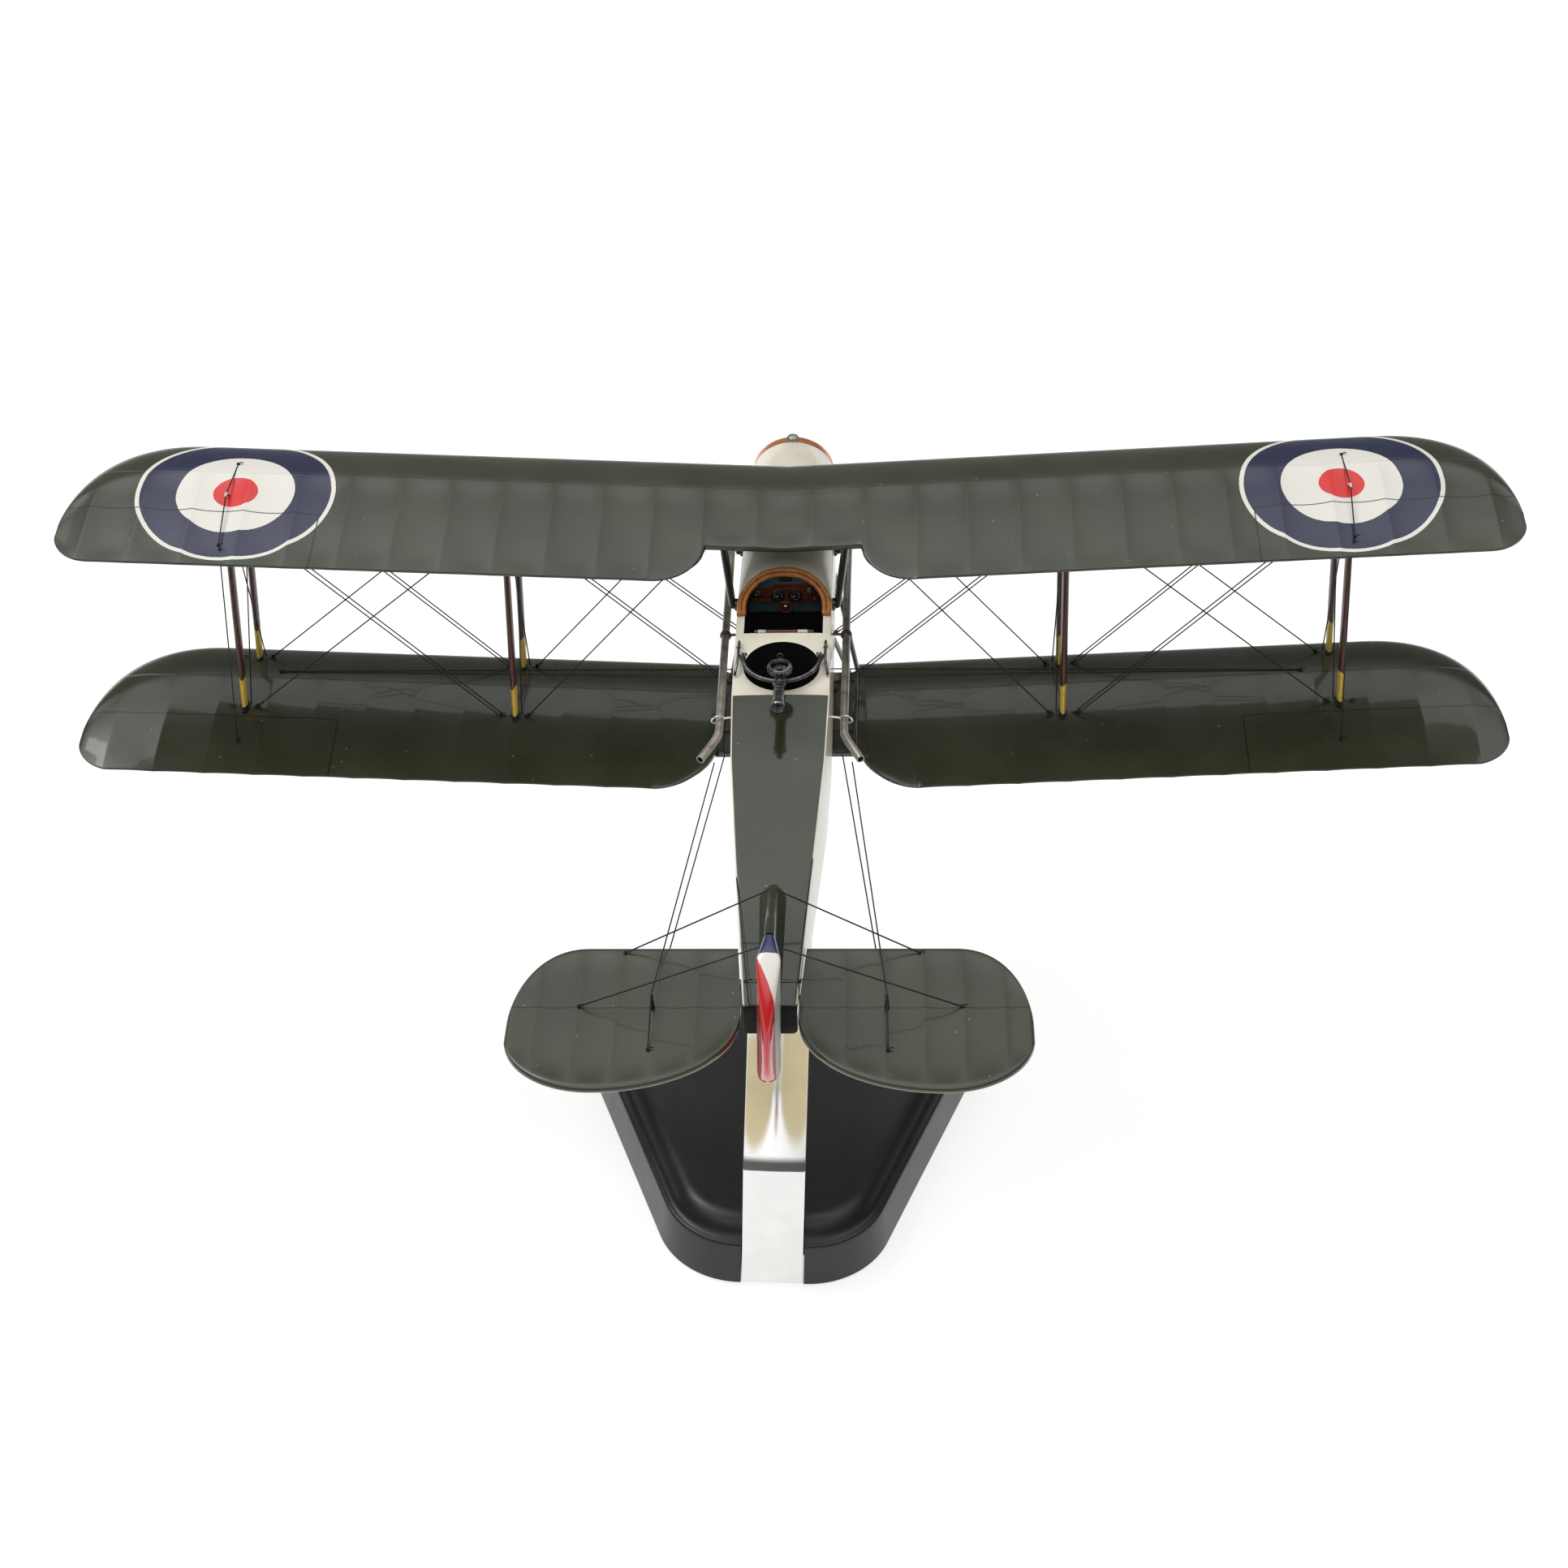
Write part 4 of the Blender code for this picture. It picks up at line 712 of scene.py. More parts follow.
CHORD_STEPS = (0.0, 0.002, 0.006, 0.014, 0.028, 0.05, 0.08, 0.12, 0.16, 0.20, 0.24, 0.27, 0.29, 0.31, 0.33)
CHORD_STEPS += (0.36, 0.41, 0.48, 0.56, 0.64, 0.72, 0.80, 0.87, 0.92, 0.955, 0.975, 0.988, 0.996, 1.0)
CREST = 0.32
RIB_OFFSETS = (-6.8, -4.5, -2.8, -1.4, -0.5, 0.0, 0.5, 1.4, 2.8, 4.5, 6.8, 8.8)
UNDER_STEPS = (1.0, 0.99, 0.96, 0.9, 0.8, 0.68, 0.56, 0.45, 0.35, 0.25, 0.16, 0.09, 0.04, 0.012, 0.003)


def upper_surface(t):
    """Height above the chord line, a chord long: a curved nose up to the crest, then a gentle fall."""
    if t < CREST:
        share = t / CREST
        return 0.0615 * (0.25 * sqrt(share) + 0.75 * (1.0 - (1.0 - share) ** 2)) + 0.0035
    rise = 2.6 * sqrt(t) * (1.0 - t)
    return min(0.064, 0.064 * rise) * (1.0 - 0.12 * t) + 0.0035


def lower_surface(t):
    """Height above the chord line: a little belly behind the nose, then flat."""
    return -0.011 * sin(pi * min(1.0, 2.2 * t)) - 0.0035


def rounded(distance, length, power=2.4):
    """0 before a corner and 1 at its end, along a quarter of a superellipse."""
    share = min(max(distance / length, 0.0), 1.0)
    return 1.0 - (1.0 - share**power) ** (1.0 / power)


def upper_cut(x):
    """How far back the upper wing reaches at x, with the cut-out at its centre."""
    if abs(x) <= NOTCH_HALF:
        return NOTCH_CHORD
    share = min((abs(x) - NOTCH_HALF) / NOTCH_CORNER, 1.0)
    return NOTCH_CHORD + (CHORD - NOTCH_CHORD) * sqrt(1.0 - (1.0 - share) ** 2)


def lower_cut(x):
    """How far back the lower wing reaches at x, with the rounded corner at its root."""
    share = min(max((abs(x) - ROOT_X) / ROOT_CORNER, 0.0), 1.0)
    corner = (1.0 - (1.0 - share) ** 1.8) ** (1.0 / 1.8)
    return CHORD - ROOT_CORNER * (1.0 - corner)


def rib_lines(half_span):
    """Where a wing's ribs lie along the span."""
    found = [-CENTRE_RIB, CENTRE_RIB]
    x = FIRST_RIB
    while x < half_span - 4.0:
        found += [x, -x]
        x += RIB_PITCH
    return sorted(found)


def between_ribs(x, ribs):
    """0 on a rib and 1 in the middle of a bay."""
    below = max([r for r in ribs if r <= x], default=ribs[0] - RIB_PITCH)
    above = min([r for r in ribs if r > x], default=ribs[-1] + RIB_PITCH)
    share = (x - below) / (above - below)
    return 1.0 - abs(2.0 * share - 1.0) ** 2.2


def wing_ring(x, half_span, level, edge_y, cut, ribs, slack):
    """The wing's section at x: ply nose, fabric sagging between the ribs behind it."""
    front = TIP_SWEEP * rounded(abs(x) - (half_span - TIP_REACH), TIP_REACH)
    full = CHORD - BACK_SWEEP * rounded(abs(x) - (half_span - BACK_REACH), BACK_REACH, 2.0)
    local = full - front
    sag = between_ribs(x, ribs)
    back = min(cut(x), full)
    if cut(x) >= CHORD - 0.01:
        back -= 0.35 * sag * min(1.0, local / 30.0)
    last = (back - front) / local
    scale = min(1.0, local / 40.0)
    thick_end = local * (upper_surface(last) - lower_surface(last))
    edge = min(0.45, 0.48 * thick_end)
    rolled = 6.0 if cut(x) < CHORD - 0.01 else 0.01
    ring = []
    for under, steps in ((False, CHORD_STEPS), (True, UNDER_STEPS)):
        for s in steps:
            t = s * last
            aft = front + t * local
            base = level + abs(x) * DIHEDRAL + (CHORD - aft) * INCIDENCE
            fabric = min(1.0, max(0.0, (t - 0.30) / 0.10)) * min(1.0, 0.25 + (1.0 - s) / 0.15)
            if under:
                height = local * lower_surface(t) + 0.25 * sag * scale * min(1.0, 4.0 * s * (1.0 - s))
            else:
                height = local * upper_surface(t) - slack * sag * fabric * scale
                height -= 0.4 * max(0.0, 1.0 - (back - aft) / rolled) ** 2
            short = max(0.0, edge - (back - aft))
            drop = edge - sqrt(max(edge**2 - short**2, 0.0))
            height += drop if under else -drop
            ring.append((x, edge_y - aft, base + height))
    return ring


def eased_stations(start, length, angles):
    """Stations that crowd together at the start of a rounded corner."""
    return [start + length * (1.0 - cos(radians(a))) for a in angles]


def wing_stations(first, half_span, ribs):
    """Stations along the span, close together at the ribs and round the tip."""
    marks = {first}
    for rib in ribs:
        marks |= {rib + offset for offset in RIB_OFFSETS}
    start = half_span - TIP_REACH
    reach = TIP_REACH - 0.12
    marks |= {start + reach * sin(radians(angle)) for angle in range(2, 91, 2)}
    return sorted(x for x in marks if first <= x <= half_span - 0.11)


def upper_wing():
    """The upper wing in one piece, from tip to tip."""
    ribs = rib_lines(UPPER_HALF)
    right = wing_stations(0.0, UPPER_HALF, ribs)
    right += eased_stations(NOTCH_HALF, NOTCH_CORNER, range(6, 91, 6))
    right = sorted(set(right))
    stations = [-x for x in reversed(right[1:])] + right
    rings = []
    for x in stations:
        rings.append(wing_ring(x, UPPER_HALF, UPPER_LEVEL, 0.0, upper_cut, ribs, UPPER_SLACK))
    make_piece("upper_wing_skin", loft(rings), "upper", stands_for=("upper_wing",),
               sharp=50.0)


def lower_wing(side_name, side):
    """One lower wing, from its rounded root to its tip."""
    ribs = rib_lines(LOWER_HALF)
    stations = wing_stations(ROOT_X, LOWER_HALF, ribs)
    stations += eased_stations(ROOT_X, ROOT_CORNER, range(3, 91, 5))
    stations = sorted(set(stations))
    rings = []
    for x in stations:
        rings.append(wing_ring(side * x, LOWER_HALF, LOWER_LEVEL, -STAGGER, lower_cut, ribs, LOWER_SLACK))
    name = "lower_wing_" + side_name
    make_piece(name + "_skin", loft(rings), "lower", stands_for=(name,), sharp=50.0)


# ---------------------------------------------------------------- struts


def wing_height(x, aft, level, surface):
    """Height of a wing's surface at x, some way aft of its leading edge."""
    return level + abs(x) * DIHEDRAL + (CHORD - aft) * INCIDENCE + CHORD * surface(aft / CHORD)


def strut_ends(side, bay, row):
    """The foot of a strut on the lower wing and its head under the upper one."""
    x, aft = STRUT_X[bay], STRUT_AFT[row]
    foot = Vector((side * x, -STAGGER - aft, wing_height(x, aft, LOWER_LEVEL, upper_surface)))
    head = Vector((side * x, -aft, wing_height(x, aft, UPPER_LEVEL, lower_surface)))
    return foot, head


def lens_points(length, width):
    """A streamlined section, blunt ahead and fine behind."""
    points = []
    for angle in angles_round(24):
        along = cos(angle)
        across = sin(angle) * (0.82 + 0.18 * along)
        points.append((0.5 * width * across, 0.5 * length * along))
    return points


def strut_ring(x, y, z, section, grow):
    return [(x + grow * a, y + grow * b, z) for a, b in lens_points(*section)]


def spindle(foot, head, section):
    """A streamlined strut, a little slimmer towards its ends."""
    rings = []
    for i in range(15):
        share = i / 14
        swell = 0.86 + 0.14 * sin(pi * share) ** 0.6
        centre = foot.lerp(head, share)
        rings.append(strut_ring(centre.x, centre.y, centre.z, section, swell))
    return loft(rings)


def strut_shoe(at, upward, section):
    """The folded metal shoe at a strut's end."""
    rings = []
    for height, grow in ((-0.5, 1.45), (0.05, 1.45), (0.15, 1.12), (1.0, 1.08), (1.05, 0.95)):
        rings.append(strut_ring(at.x, at.y, at.z + upward * height, section, grow))
    return loft(rings)


def interplane_strut(side_name, side, bay, row):
    """A mahogany strut, its two shoes, and the eyes that the threads are tied to."""
    foot, head = strut_ends(side, bay, row)
    top, bottom = head.copy(), foot.copy()
    bottom.z += 0.7
    top.z -= 0.6
    name = f"strut_{bay}_{row}_{side_name}"
    post = spindle(bottom, top, STRUT_SECTION)
    make_piece(name + "_turned", post, "strut", stands_for=(name,))
    shoes = joined(strut_shoe(foot, 1.0, STRUT_SECTION), strut_shoe(head, -1.0, STRUT_SECTION))
    make_piece(name + "_shoes", shoes, "dark")
    eyes = []
    for step in (-1.0, 1.0):
        eyes.append(ring_bar(foot + Vector((step * 4.9, 0.0, 0.5)), (0.2, 1.0, 0.0), 0.55, 0.18, 14, 6))
        pin = ((0.0, 0.8), (0.4, 0.8), (0.6, 0.4))
        eyes.append(turned(foot + Vector((step * 4.0, 0, -0.3)), (0, 0, 1), pin, 10))
    make_piece(name + "_eyes", joined(*eyes), "dark")


def cabane(side_name, side, row):
    """A centre strut, from its pad on the fuselage's side out to the upper wing."""
    y_low, y_high = {"front": (-11.0, -8.0), "rear": (-51.0, -38.5)}[row]
    half, _, shoulder, _ = fuselage_values(y_low)
    foot = Vector((side * (half + 2.0), y_low, shoulder - 2.0))
    top = wing_height(CABANE_TOP_X, -y_high, UPPER_LEVEL, lower_surface)
    head = Vector((side * CABANE_TOP_X, y_high, top - 0.3))
    name = f"cabane_{row}_{side_name}"
    shapes = [spindle(foot, head, CABANE_SECTION)]
    shapes.append(strut_shoe(head + Vector((0, 0, 0.3)), -1.0, CABANE_SECTION))
    pad = Vector((side * (half + 0.5), y_low, shoulder - 2.0))
    shapes.append(turned(pad, (side, 0, 0), ((-0.4, 2.2), (0.5, 2.2), (0.8, 1.6), (2.2, 1.2)), 16))
    make_piece(name + "_tube", joined(*shapes), "frame", stands_for=(name,))


# ---------------------------------------------------------------- threads


def thread(name, points, radius=THREAD, knots=()):
    """Taut thread through points, with a wound knot at some of them."""
    shapes = [tube(points, radius, 8)]
    for knot in knots:
        shapes.append(wound_knot(points[knot]))
    make_piece(name, joined(*shapes), "thread")


def wound_knot(at):
    """A few tight turns of thread and a cut end."""
    at = Vector(at)
    path = []
    for i in range(37):
        angle = 2.0 * pi * i / 12
        lift = -0.45 + 0.9 * i / 36
        path.append(at + Vector((0.42 * cos(angle), 0.42 * sin(angle), lift)))
    path += [at + Vector((0.9, 0.3, 0.5)), at + Vector((1.7, 0.5, 0.35))]
    return tube(path, 0.2, 6)


def wire_end(side, bay, row, end, outboard):
    """Where a wire ends beside a strut, on its outboard or inboard side."""
    foot, head = strut_ends(side, bay, row)
    if end == "foot":
        return foot + Vector((side * outboard * 5.2, 0.0, 0.6))
    return head + Vector((side * outboard * 2.2, 0.0, -0.4))


def root_end(side, row, end):
    """Where the inner bay's wires end: low on the fuselage's side, and beside the centre struts' heads."""
    if end == "foot":
        y, z = {"front": (-25.6, 7.0), "rear": (-55.6, 3.6)}[row]
        return Vector((side * 16.6, y, z))
    aft = STRUT_AFT[row]
    return Vector((side * 24.4, -aft, wing_height(24.4, aft, UPPER_LEVEL, lower_surface) - 0.4))


def bay_threads(side_name, side, bay):
    """A bay's flying pairs, landing threads and the crossed incidence threads at its outer struts."""
    shapes = []
    for row in STRUT_AFT:
        if bay == "inner":
            foot_in, head_in = (root_end(side, row, end) for end in ("foot", "head"))
        else:
            foot_in, head_in = (wire_end(side, "inner", row, end, 1) for end in ("foot", "head"))
        foot_out, head_out = (wire_end(side, bay, row, end, -1) for end in ("foot", "head"))
        for shift in (-1.4, 1.4):
            offset = Vector((0.0, shift, 0.0))
            shapes.append(tube([foot_in + offset * 0.7, head_out + offset], THREAD, 8))
        shapes.append(tube([head_in, foot_out], THREAD, 8))
        shapes += [wound_knot(foot_out), wound_knot(foot_in)]
    for low_row, high_row in (("front", "rear"), ("rear", "front")):
        low, high = wire_end(side, bay, low_row, "foot", -0.45), wire_end(side, bay, high_row, "head", -0.45)
        shapes.append(tube([low, high], THREAD, 8))
    name = f"rigging_{bay}_{side_name}"
    make_piece(name + "_threads", joined(*shapes), "thread", stands_for=(name,))


def lower_top(x, aft):
    return wing_height(x, aft, LOWER_LEVEL, upper_surface)


def upper_top(x, aft):
    return wing_height(x, aft, UPPER_LEVEL, upper_surface)


def control_threads(side_name, side):
    """Aileron link, the thread over each roundel, and the long thread along the lower wing."""
    x = 189.4
    head = Vector((side * x, -CHORD - 0.4, UPPER_LEVEL + x * DIHEDRAL))
    x, aft = AILERON_KNOT[side]
    foot = Vector((side * x, -STAGGER - aft, lower_top(x, aft) + 0.3))
    thread(f"aileron_link_{side_name}", [head, foot], knots=(1,))
    start = Vector((side * 192.6, -15.5, upper_top(192.6, 15.5) + 0.1))
    horn = Vector((side * 193.0, -35.5, upper_top(193.0, 35.5) + 1.5))
    end = Vector((side * 191.7, -59.5, upper_top(191.7, 59.5) + 0.3))
    thread(f"roundel_thread_{side_name}", [start, horn, end], knots=(0, 2))
    bends = [horn + Vector(offset) for offset in ((0.0, 3.2, -1.9), (0.0, 0.4, 0.1), (0.0, -1.2, 0.0))]
    post = tube(bends, [0.5, 0.55, 0.35], 10)
    make_piece(f"roundel_horn_{side_name}", post, "white")
    near = Vector((side * 15.9, -30.4, -6.1))
    x, aft = WING_KNOT[side]
    far = Vector((side * x, -STAGGER - aft, lower_top(x, aft) + 0.3))
    thread(f"wing_thread_{side_name}", [near, far], knots=(1,))


def tail_threads(side_name, side):
    """Bracing from the fin, and the cables that run back to the elevators and the rudder."""
    top = TAIL_Z + 1.4
    front = Vector((side * 45.2, -205.5, top))
    rear = Vector((side * 57.5, -228.3, top))
    fin_front = Vector((0.7 + side * 1.0, -199.8, 42.6))
    fin_rear = Vector((0.7 + side * 1.2, -230.8, 49.4))
    thread(f"tail_brace_front_{side_name}", [fin_front, front], knots=(1,))
    thread(f"tail_brace_rear_{side_name}", [fin_rear, rear], knots=(1,))
    horn_top = Vector((side * 35.2, -229.0, top + 6.0))
    post = tube([horn_top - Vector((0, 0, 6.6)), horn_top + Vector((0, 0, 0.3))], [0.75, 0.35], 10)
    make_piece(f"elevator_horn_{side_name}", post, "dark")
    root = Vector((side * 23.5, -102.0, CABLE_ROOT_Z))
    after = Vector((side * 35.5, -246.0, top))
    thread(f"elevator_cable_top_{side_name}", [root, horn_top, after], knots=(2,))
    low_root = Vector((side * 20.1, -97.8, CABLE_ROOT_Z))
    under = Vector((side * 31.8, -202.6, TAIL_Z))
    thread(f"elevator_cable_low_{side_name}", [low_root, under])
    bar_end = Vector((1.3 + side * 7.7, HINGE_Y - 1.5, 33.7))
    exit_x, exit_y = DECK_EXIT[side]
    exit_point = Vector((exit_x, exit_y, deck_height(exit_x, exit_y)))
    after = Vector((bar_end.x, -226.5, deck_height(bar_end.x, -226.5)))
    thread(f"rudder_cable_{side_name}", [exit_point, bar_end, after], 0.18, knots=(1,))


# ---------------------------------------------------------------- fuselage


def fuselage_values(y):
    """Half width, belly, shoulder and crown of the fuselage at y."""
    rows = FUSELAGE_SECTIONS
    for ahead, behind in zip(rows, rows[1:]):
        if ahead[0] >= y >= behind[0]:
            share = (ahead[0] - y) / (ahead[0] - behind[0])
            return [a + share * (b - a) for a, b in zip(ahead[1:], behind[1:])]
    return list(rows[0][1:] if y > rows[0][0] else rows[-1][1:])


def deck_height(x, y):
    """Height of the arched deck over (x, y)."""
    half, _, shoulder, crown = fuselage_values(y)
    return shoulder + (crown - shoulder) * sqrt(max(1.0 - (x / half) ** 2, 0.0))


def above_deck(x, y, lift):
    """The point that is lift away from the deck, square to it."""
    step = 0.2
    slope_x = (deck_height(x + step, y) - deck_height(x - step, y)) / (2.0 * step)
    slope_y = (deck_height(x, y + step) - deck_height(x, y - step)) / (2.0 * step)
    return Vector((x, y, deck_height(x, y))) + Vector((-slope_x, -slope_y, 1.0)).normalized() * lift


def cockpit_rim(grow):
    """(x, y) round the squarish front of the pilot's well, from starboard to port."""
    points = []
    for i in range(49):
        angle = pi * i / 48
        across = copysign(abs(cos(angle)) ** 0.75, cos(angle))
        ahead = max(sin(angle), 0.0) ** 0.85
        points.append(((WELL_HALF + grow) * across, WELL_MIDDLE_Y + (WELL_NOSE + grow) * ahead))
    return points


def upright_plate(outline, front, rear):
    """A plate across the fuselage, its outline given as (x, z)."""
    return loft([[(x, y, z) for x, z in outline] for y in (front, rear)])


def section_ring(y, values, centre=None, grow=1.0):
    """A fuselage section: flat sides, small lower corners and an arched top, scaled about a height."""
    half, belly, shoulder, crown = values
    corner = 1.6
    right = []
    for a in (0.0, 0.4, 0.8, 1.2, 1.57):
        right.append((half - corner * (1 - sin(a)), belly + corner * (1 - cos(a))))
    right.append((half, 0.5 * (belly + shoulder)))
    for i in range(18):
        angle = 0.5 * pi * i / 18
        right.append((half * cos(angle), shoulder + (crown - shoulder) * sin(angle)))
    left = [(-x, z) for x, z in reversed(right)]
    points = [(x, y, z) for x, z in right + [(0.0, crown)] + left]
    if centre is None:
        return points
    middle = Vector((0.0, y, centre))
    return [middle + (Vector(p) - middle) * grow for p in points]


def fuselage():
    """The body with its two wells and the hollow behind the panel cut out, and a near-black cap on its end as
    painted shade.
    """
    ys = [row[0] for row in FUSELAGE_SECTIONS]
    stations = []
    for ahead, behind in zip(ys, ys[1:]):
        count = max(1, round((ahead - behind) / 9.0))
        stations += [ahead + (behind - ahead) * i / count for i in range(count)]
    stations.append(ys[-1])
    rings = [section_ring(y, fuselage_values(y)) for y in stations]
    well = [(-WELL_HALF, WELL_BACK_Y), (WELL_HALF, WELL_BACK_Y)] + cockpit_rim(0.0)
    pilot = loft([[(x, y, z) for x, y in well] for z in (14.0, 70.0)])
    behind_panel = [(-12.6, 15.0), (12.6, 15.0), (12.6, 42.7), (8.0, 46.1), (-8.0, 46.1), (-12.6, 42.7)]
    under_deck = upright_plate(behind_panel, WELL_MIDDLE_Y, PANEL_Y + 0.7)
    gunner = turned((0.0, GUNNER_Y, 16.0), (0, 0, 1), ((0.0, GUNNER_RADIUS), (60.0, GUNNER_RADIUS)), 72)
    hollows = (("pilot_well", pilot), ("under_deck", under_deck), ("gunner_well", gunner))
    cutters = [make_object(name, hollow, "lining") for name, hollow in hollows]
    body = make_piece("fuselage_skin", loft(rings), "fuselage",
                      stands_for=("fuselage",))
    body.data.materials.append(PAINTS["lining"])
    cut_and_finish(body, cutters, 0.25)
    # Painted shade: a near-black cap over the end face, for the shadow there.
    values = fuselage_values(TAIL_END_Y)
    rings = []
    for aft, grow in ((-0.1, 0.99), (0.3, 0.99), (0.45, 0.93)):
        rings.append(section_ring(TAIL_END_Y - aft, values, 15.5, grow))
    make_piece("shaded_tail_end", loft(rings), "soot_and_shade")


def nose():
    """The radiator's shell with a rolled lip, its cap and the little bolts round it."""
    values = FUSELAGE_SECTIONS[0][1:]
    lip = [(50.3, 1.0), (52.0, 1.0), (53.6, 0.99), (54.8, 0.965), (55.6, 0.93), (56.0, 0.88)]
    lip += [(55.9, 0.83), (55.2, 0.795), (54.0, 0.78), (52.8, 0.775)]
    rings = [section_ring(y, values, THRUST_Z, grow) for y, grow in lip]
    make_piece("radiator_shell", loft(rings), "copper", stands_for=("radiator_cowl",))
    cap = ((-0.6, 2.4), (0.1, 2.4), (0.2, 2.0), (0.7, 2.0), (1.0, 1.7), (1.3, 0.9), (1.35, 0.1))
    shapes = [turned((0.0, 52.2, 39.6), (0, 0, 1), cap, 24)]
    for angle in angles_round(8):
        at = (1.9 * cos(angle), 52.2 + 1.9 * sin(angle), 39.7)
        shapes.append(turned(at, (0, 0, 1), ((0.0, 0.28), (0.8, 0.28)), 8))
    make_piece("radiator_cap", joined(*shapes), "exhaust", stands_for=("filler_cap",))


def coaming():
    """Two leather rolls side by side, hugging the rim of the well, and the stitches between them."""
    rows = []
    for grow, lift in ((1.75, 0.75), (0.30, 0.55), (1.05, 1.25)):
        rim = cockpit_rim(grow)
        starboard, port = rim[0][0], rim[-1][0]
        path = [(starboard, -61.0), (starboard, -59.4)] + rim + [(port, -59.4), (port, -61.0)]
        rows.append([above_deck(x, y, lift) for x, y in path])
    outer, inner, seam = rows
    swell = [1.0 - 0.05 * cos(0.9 * i) for i in range(len(outer))]
    rolls = joined(tube(outer, [0.98 * s for s in swell], 20), tube(inner, [0.85 * s for s in swell], 16))
    piece = make_piece("coaming_roll", rolls, "leather", stands_for=("coaming",))
    stitches = [tube([a, b], 0.10, 6) for a, b in zip(seam[2:-2:2], seam[3:-1:2])]
    make_piece("coaming_stitches", joined(*stitches), "thread")


def dial(x, z, radius, y):
    """A gauge: bezel, sunk face, needle and marks."""
    aft = (0, -1, 0)
    bezel = ((0.0, radius), (0.45, radius), (0.55, radius * 0.9), (0.5, radius * 0.78), (0.25, radius * 0.76))
    face = turned((x, y, z), aft, ((0.0, radius * 0.78), (0.28, radius * 0.78)), 28)
    marks = []
    for i in range(9):
        angle = radians(-120.0 + 30.0 * i)
        ends = []
        for reach in (0.50 * radius, 0.66 * radius):
            ends.append((x + reach * sin(angle), y - 0.34, z + reach * cos(angle)))
        marks.append(tube(ends, 0.06, 6))
    needle = [(x, y - 0.4, z), (x - 0.35 * radius, y - 0.4, z - 0.4 * radius)]
    marks.append(tube(needle, 0.09, 6))
    return turned((x, y, z), aft, bezel, 28), face, marks


def cockpit():
    """The blue panel, its wooden board with gauges, a boss under it and, above, a dark slab as painted shade
    for a recess.
    """
    blue = [(-12.4, 33.2), (12.4, 33.2), (12.4, 42.5), (8.0, 46.0), (-8.0, 46.0), (-12.4, 42.5)]
    make_piece("panel_board", upright_plate(blue, PANEL_Y + 0.6, PANEL_Y), "blue",
               stands_for=("instrument_panel",))
    board = [(-11.7, 38.0), (11.9, 38.0), (11.9, 43.0), (8.6, 44.9), (6.0, 45.6), (-3.4, 45.6), (-5.2, 43.9)]
    board.append((-11.7, 43.0))
    face_y = PANEL_Y - 0.6
    make_piece("panel_wood", upright_plate(board, PANEL_Y, face_y), "board")
    bezels, faces, marks = [], [], []
    gauges = ((-2.4, 41.0, 2.3), (3.6, 41.0, 2.3), (-9.6, 41.6, 1.4), (8.5, 43.0, 1.0), (10.4, 39.4, 0.9))
    for x, z, radius in gauges:
        bezel, face, lines = dial(x, z, radius, face_y)
        bezels.append(bezel)
        faces.append(face)
        marks += lines
    make_piece("dial_bezels", joined(*bezels), "gun")
    make_piece("dial_faces", joined(*faces), "dial")
    make_piece("dial_marks", joined(*marks), "white")
    # Painted shade: the first dark slab stands for the shadowed recess above the board.
    dark = [slab((-1.9, PANEL_Y + 0.2, 45.7), (2.5, PANEL_Y + 0.75, 47.6), 0.05, 1)]
    for x in (-4.6, 4.8):
        dark.append(slab((x - 0.08, PANEL_Y - 0.12, 33.3), (x + 0.08, PANEL_Y + 0.2, 38.0), 0.02, 1))
    make_piece("panel_recess", joined(*dark), "dark")
    boss = ((0.0, 2.6), (0.9, 2.6), (1.1, 2.3), (0.9, 1.8), (0.6, 1.7))
    middle = (0.0, PANEL_Y, 35.8)
    make_piece("panel_boss", turned(middle, (0, -1, 0), boss, 32), "board")
    centre = ((0.5, 1.0), (1.1, 1.0), (1.4, 0.7), (1.45, 0.1))
    make_piece("panel_boss_centre", turned(middle, (0, -1, 0), centre, 20), "steel")
    seats()


def seats():
    """The pilot's bucket and stick, and the gunner's stool and rail."""
    back = slab((-7.2, -69.8, 20.0), (7.2, -68.2, 32.5), 0.7, 3)
    cushion = slab((-7.3, -69.0, 18.2), (7.3, -60.2, 20.6), 1.0, 4)
    legs = slab((-5.0, -68.0, 14.3), (5.0, -62.0, 18.4), 0.2)
    piece = make_piece("pilot_bucket", joined(back, cushion, legs), "seat",
                       stands_for=("pilot_seat",))
    rail = slab((-9.8, -70.4, 39.0), (10.4, -69.6, 42.0), 0.2)
    make_piece("seat_rail", rail, "board")
    plates = []
    for low_x, high_x in ((5.0, 8.4), (-8.6, -6.0)):
        plates.append(slab((low_x, -70.42, 40.0), (high_x, -69.55, 42.2), 0.05))
    make_piece("seat_rail_plates", joined(*plates), "bright")
    rod = ((0.0, 0.9), (0.6, 0.6), (10.0, 0.5), (12.2, 0.55))
    stick = [turned((0, -56.5, 14.3), (0, -1.5, 12.4), rod, 14)]
    stick.append(ring_bar((0.0, -58.0, 28.2), (0, 0.3, 1), 1.5, 0.42, 24, 8))
    make_piece("control_stick", joined(*stick), "dark", stands_for=("control_column",))
    stool = ((0.0, 4.6), (2.7, 4.4), (3.0, 5.2), (3.6, 5.6), (4.8, 5.6), (5.5, 5.0), (5.8, 3.6), (5.85, 0.3))
    shape = turned((0, -85.2, 16.3), (0, 0, 1), stool, 32)
    piece = make_piece("gunner_stool", shape, "seat", stands_for=("gunner_seat",))
    bend = arc((0.0, GUNNER_Y), 11.6, radians(200.0), radians(340.0), 24)
    make_piece("gunner_rail", tube([(x, y, 37.0) for x, y in bend], 0.5, 10), "steel")


# ---------------------------------------------------------------- gun


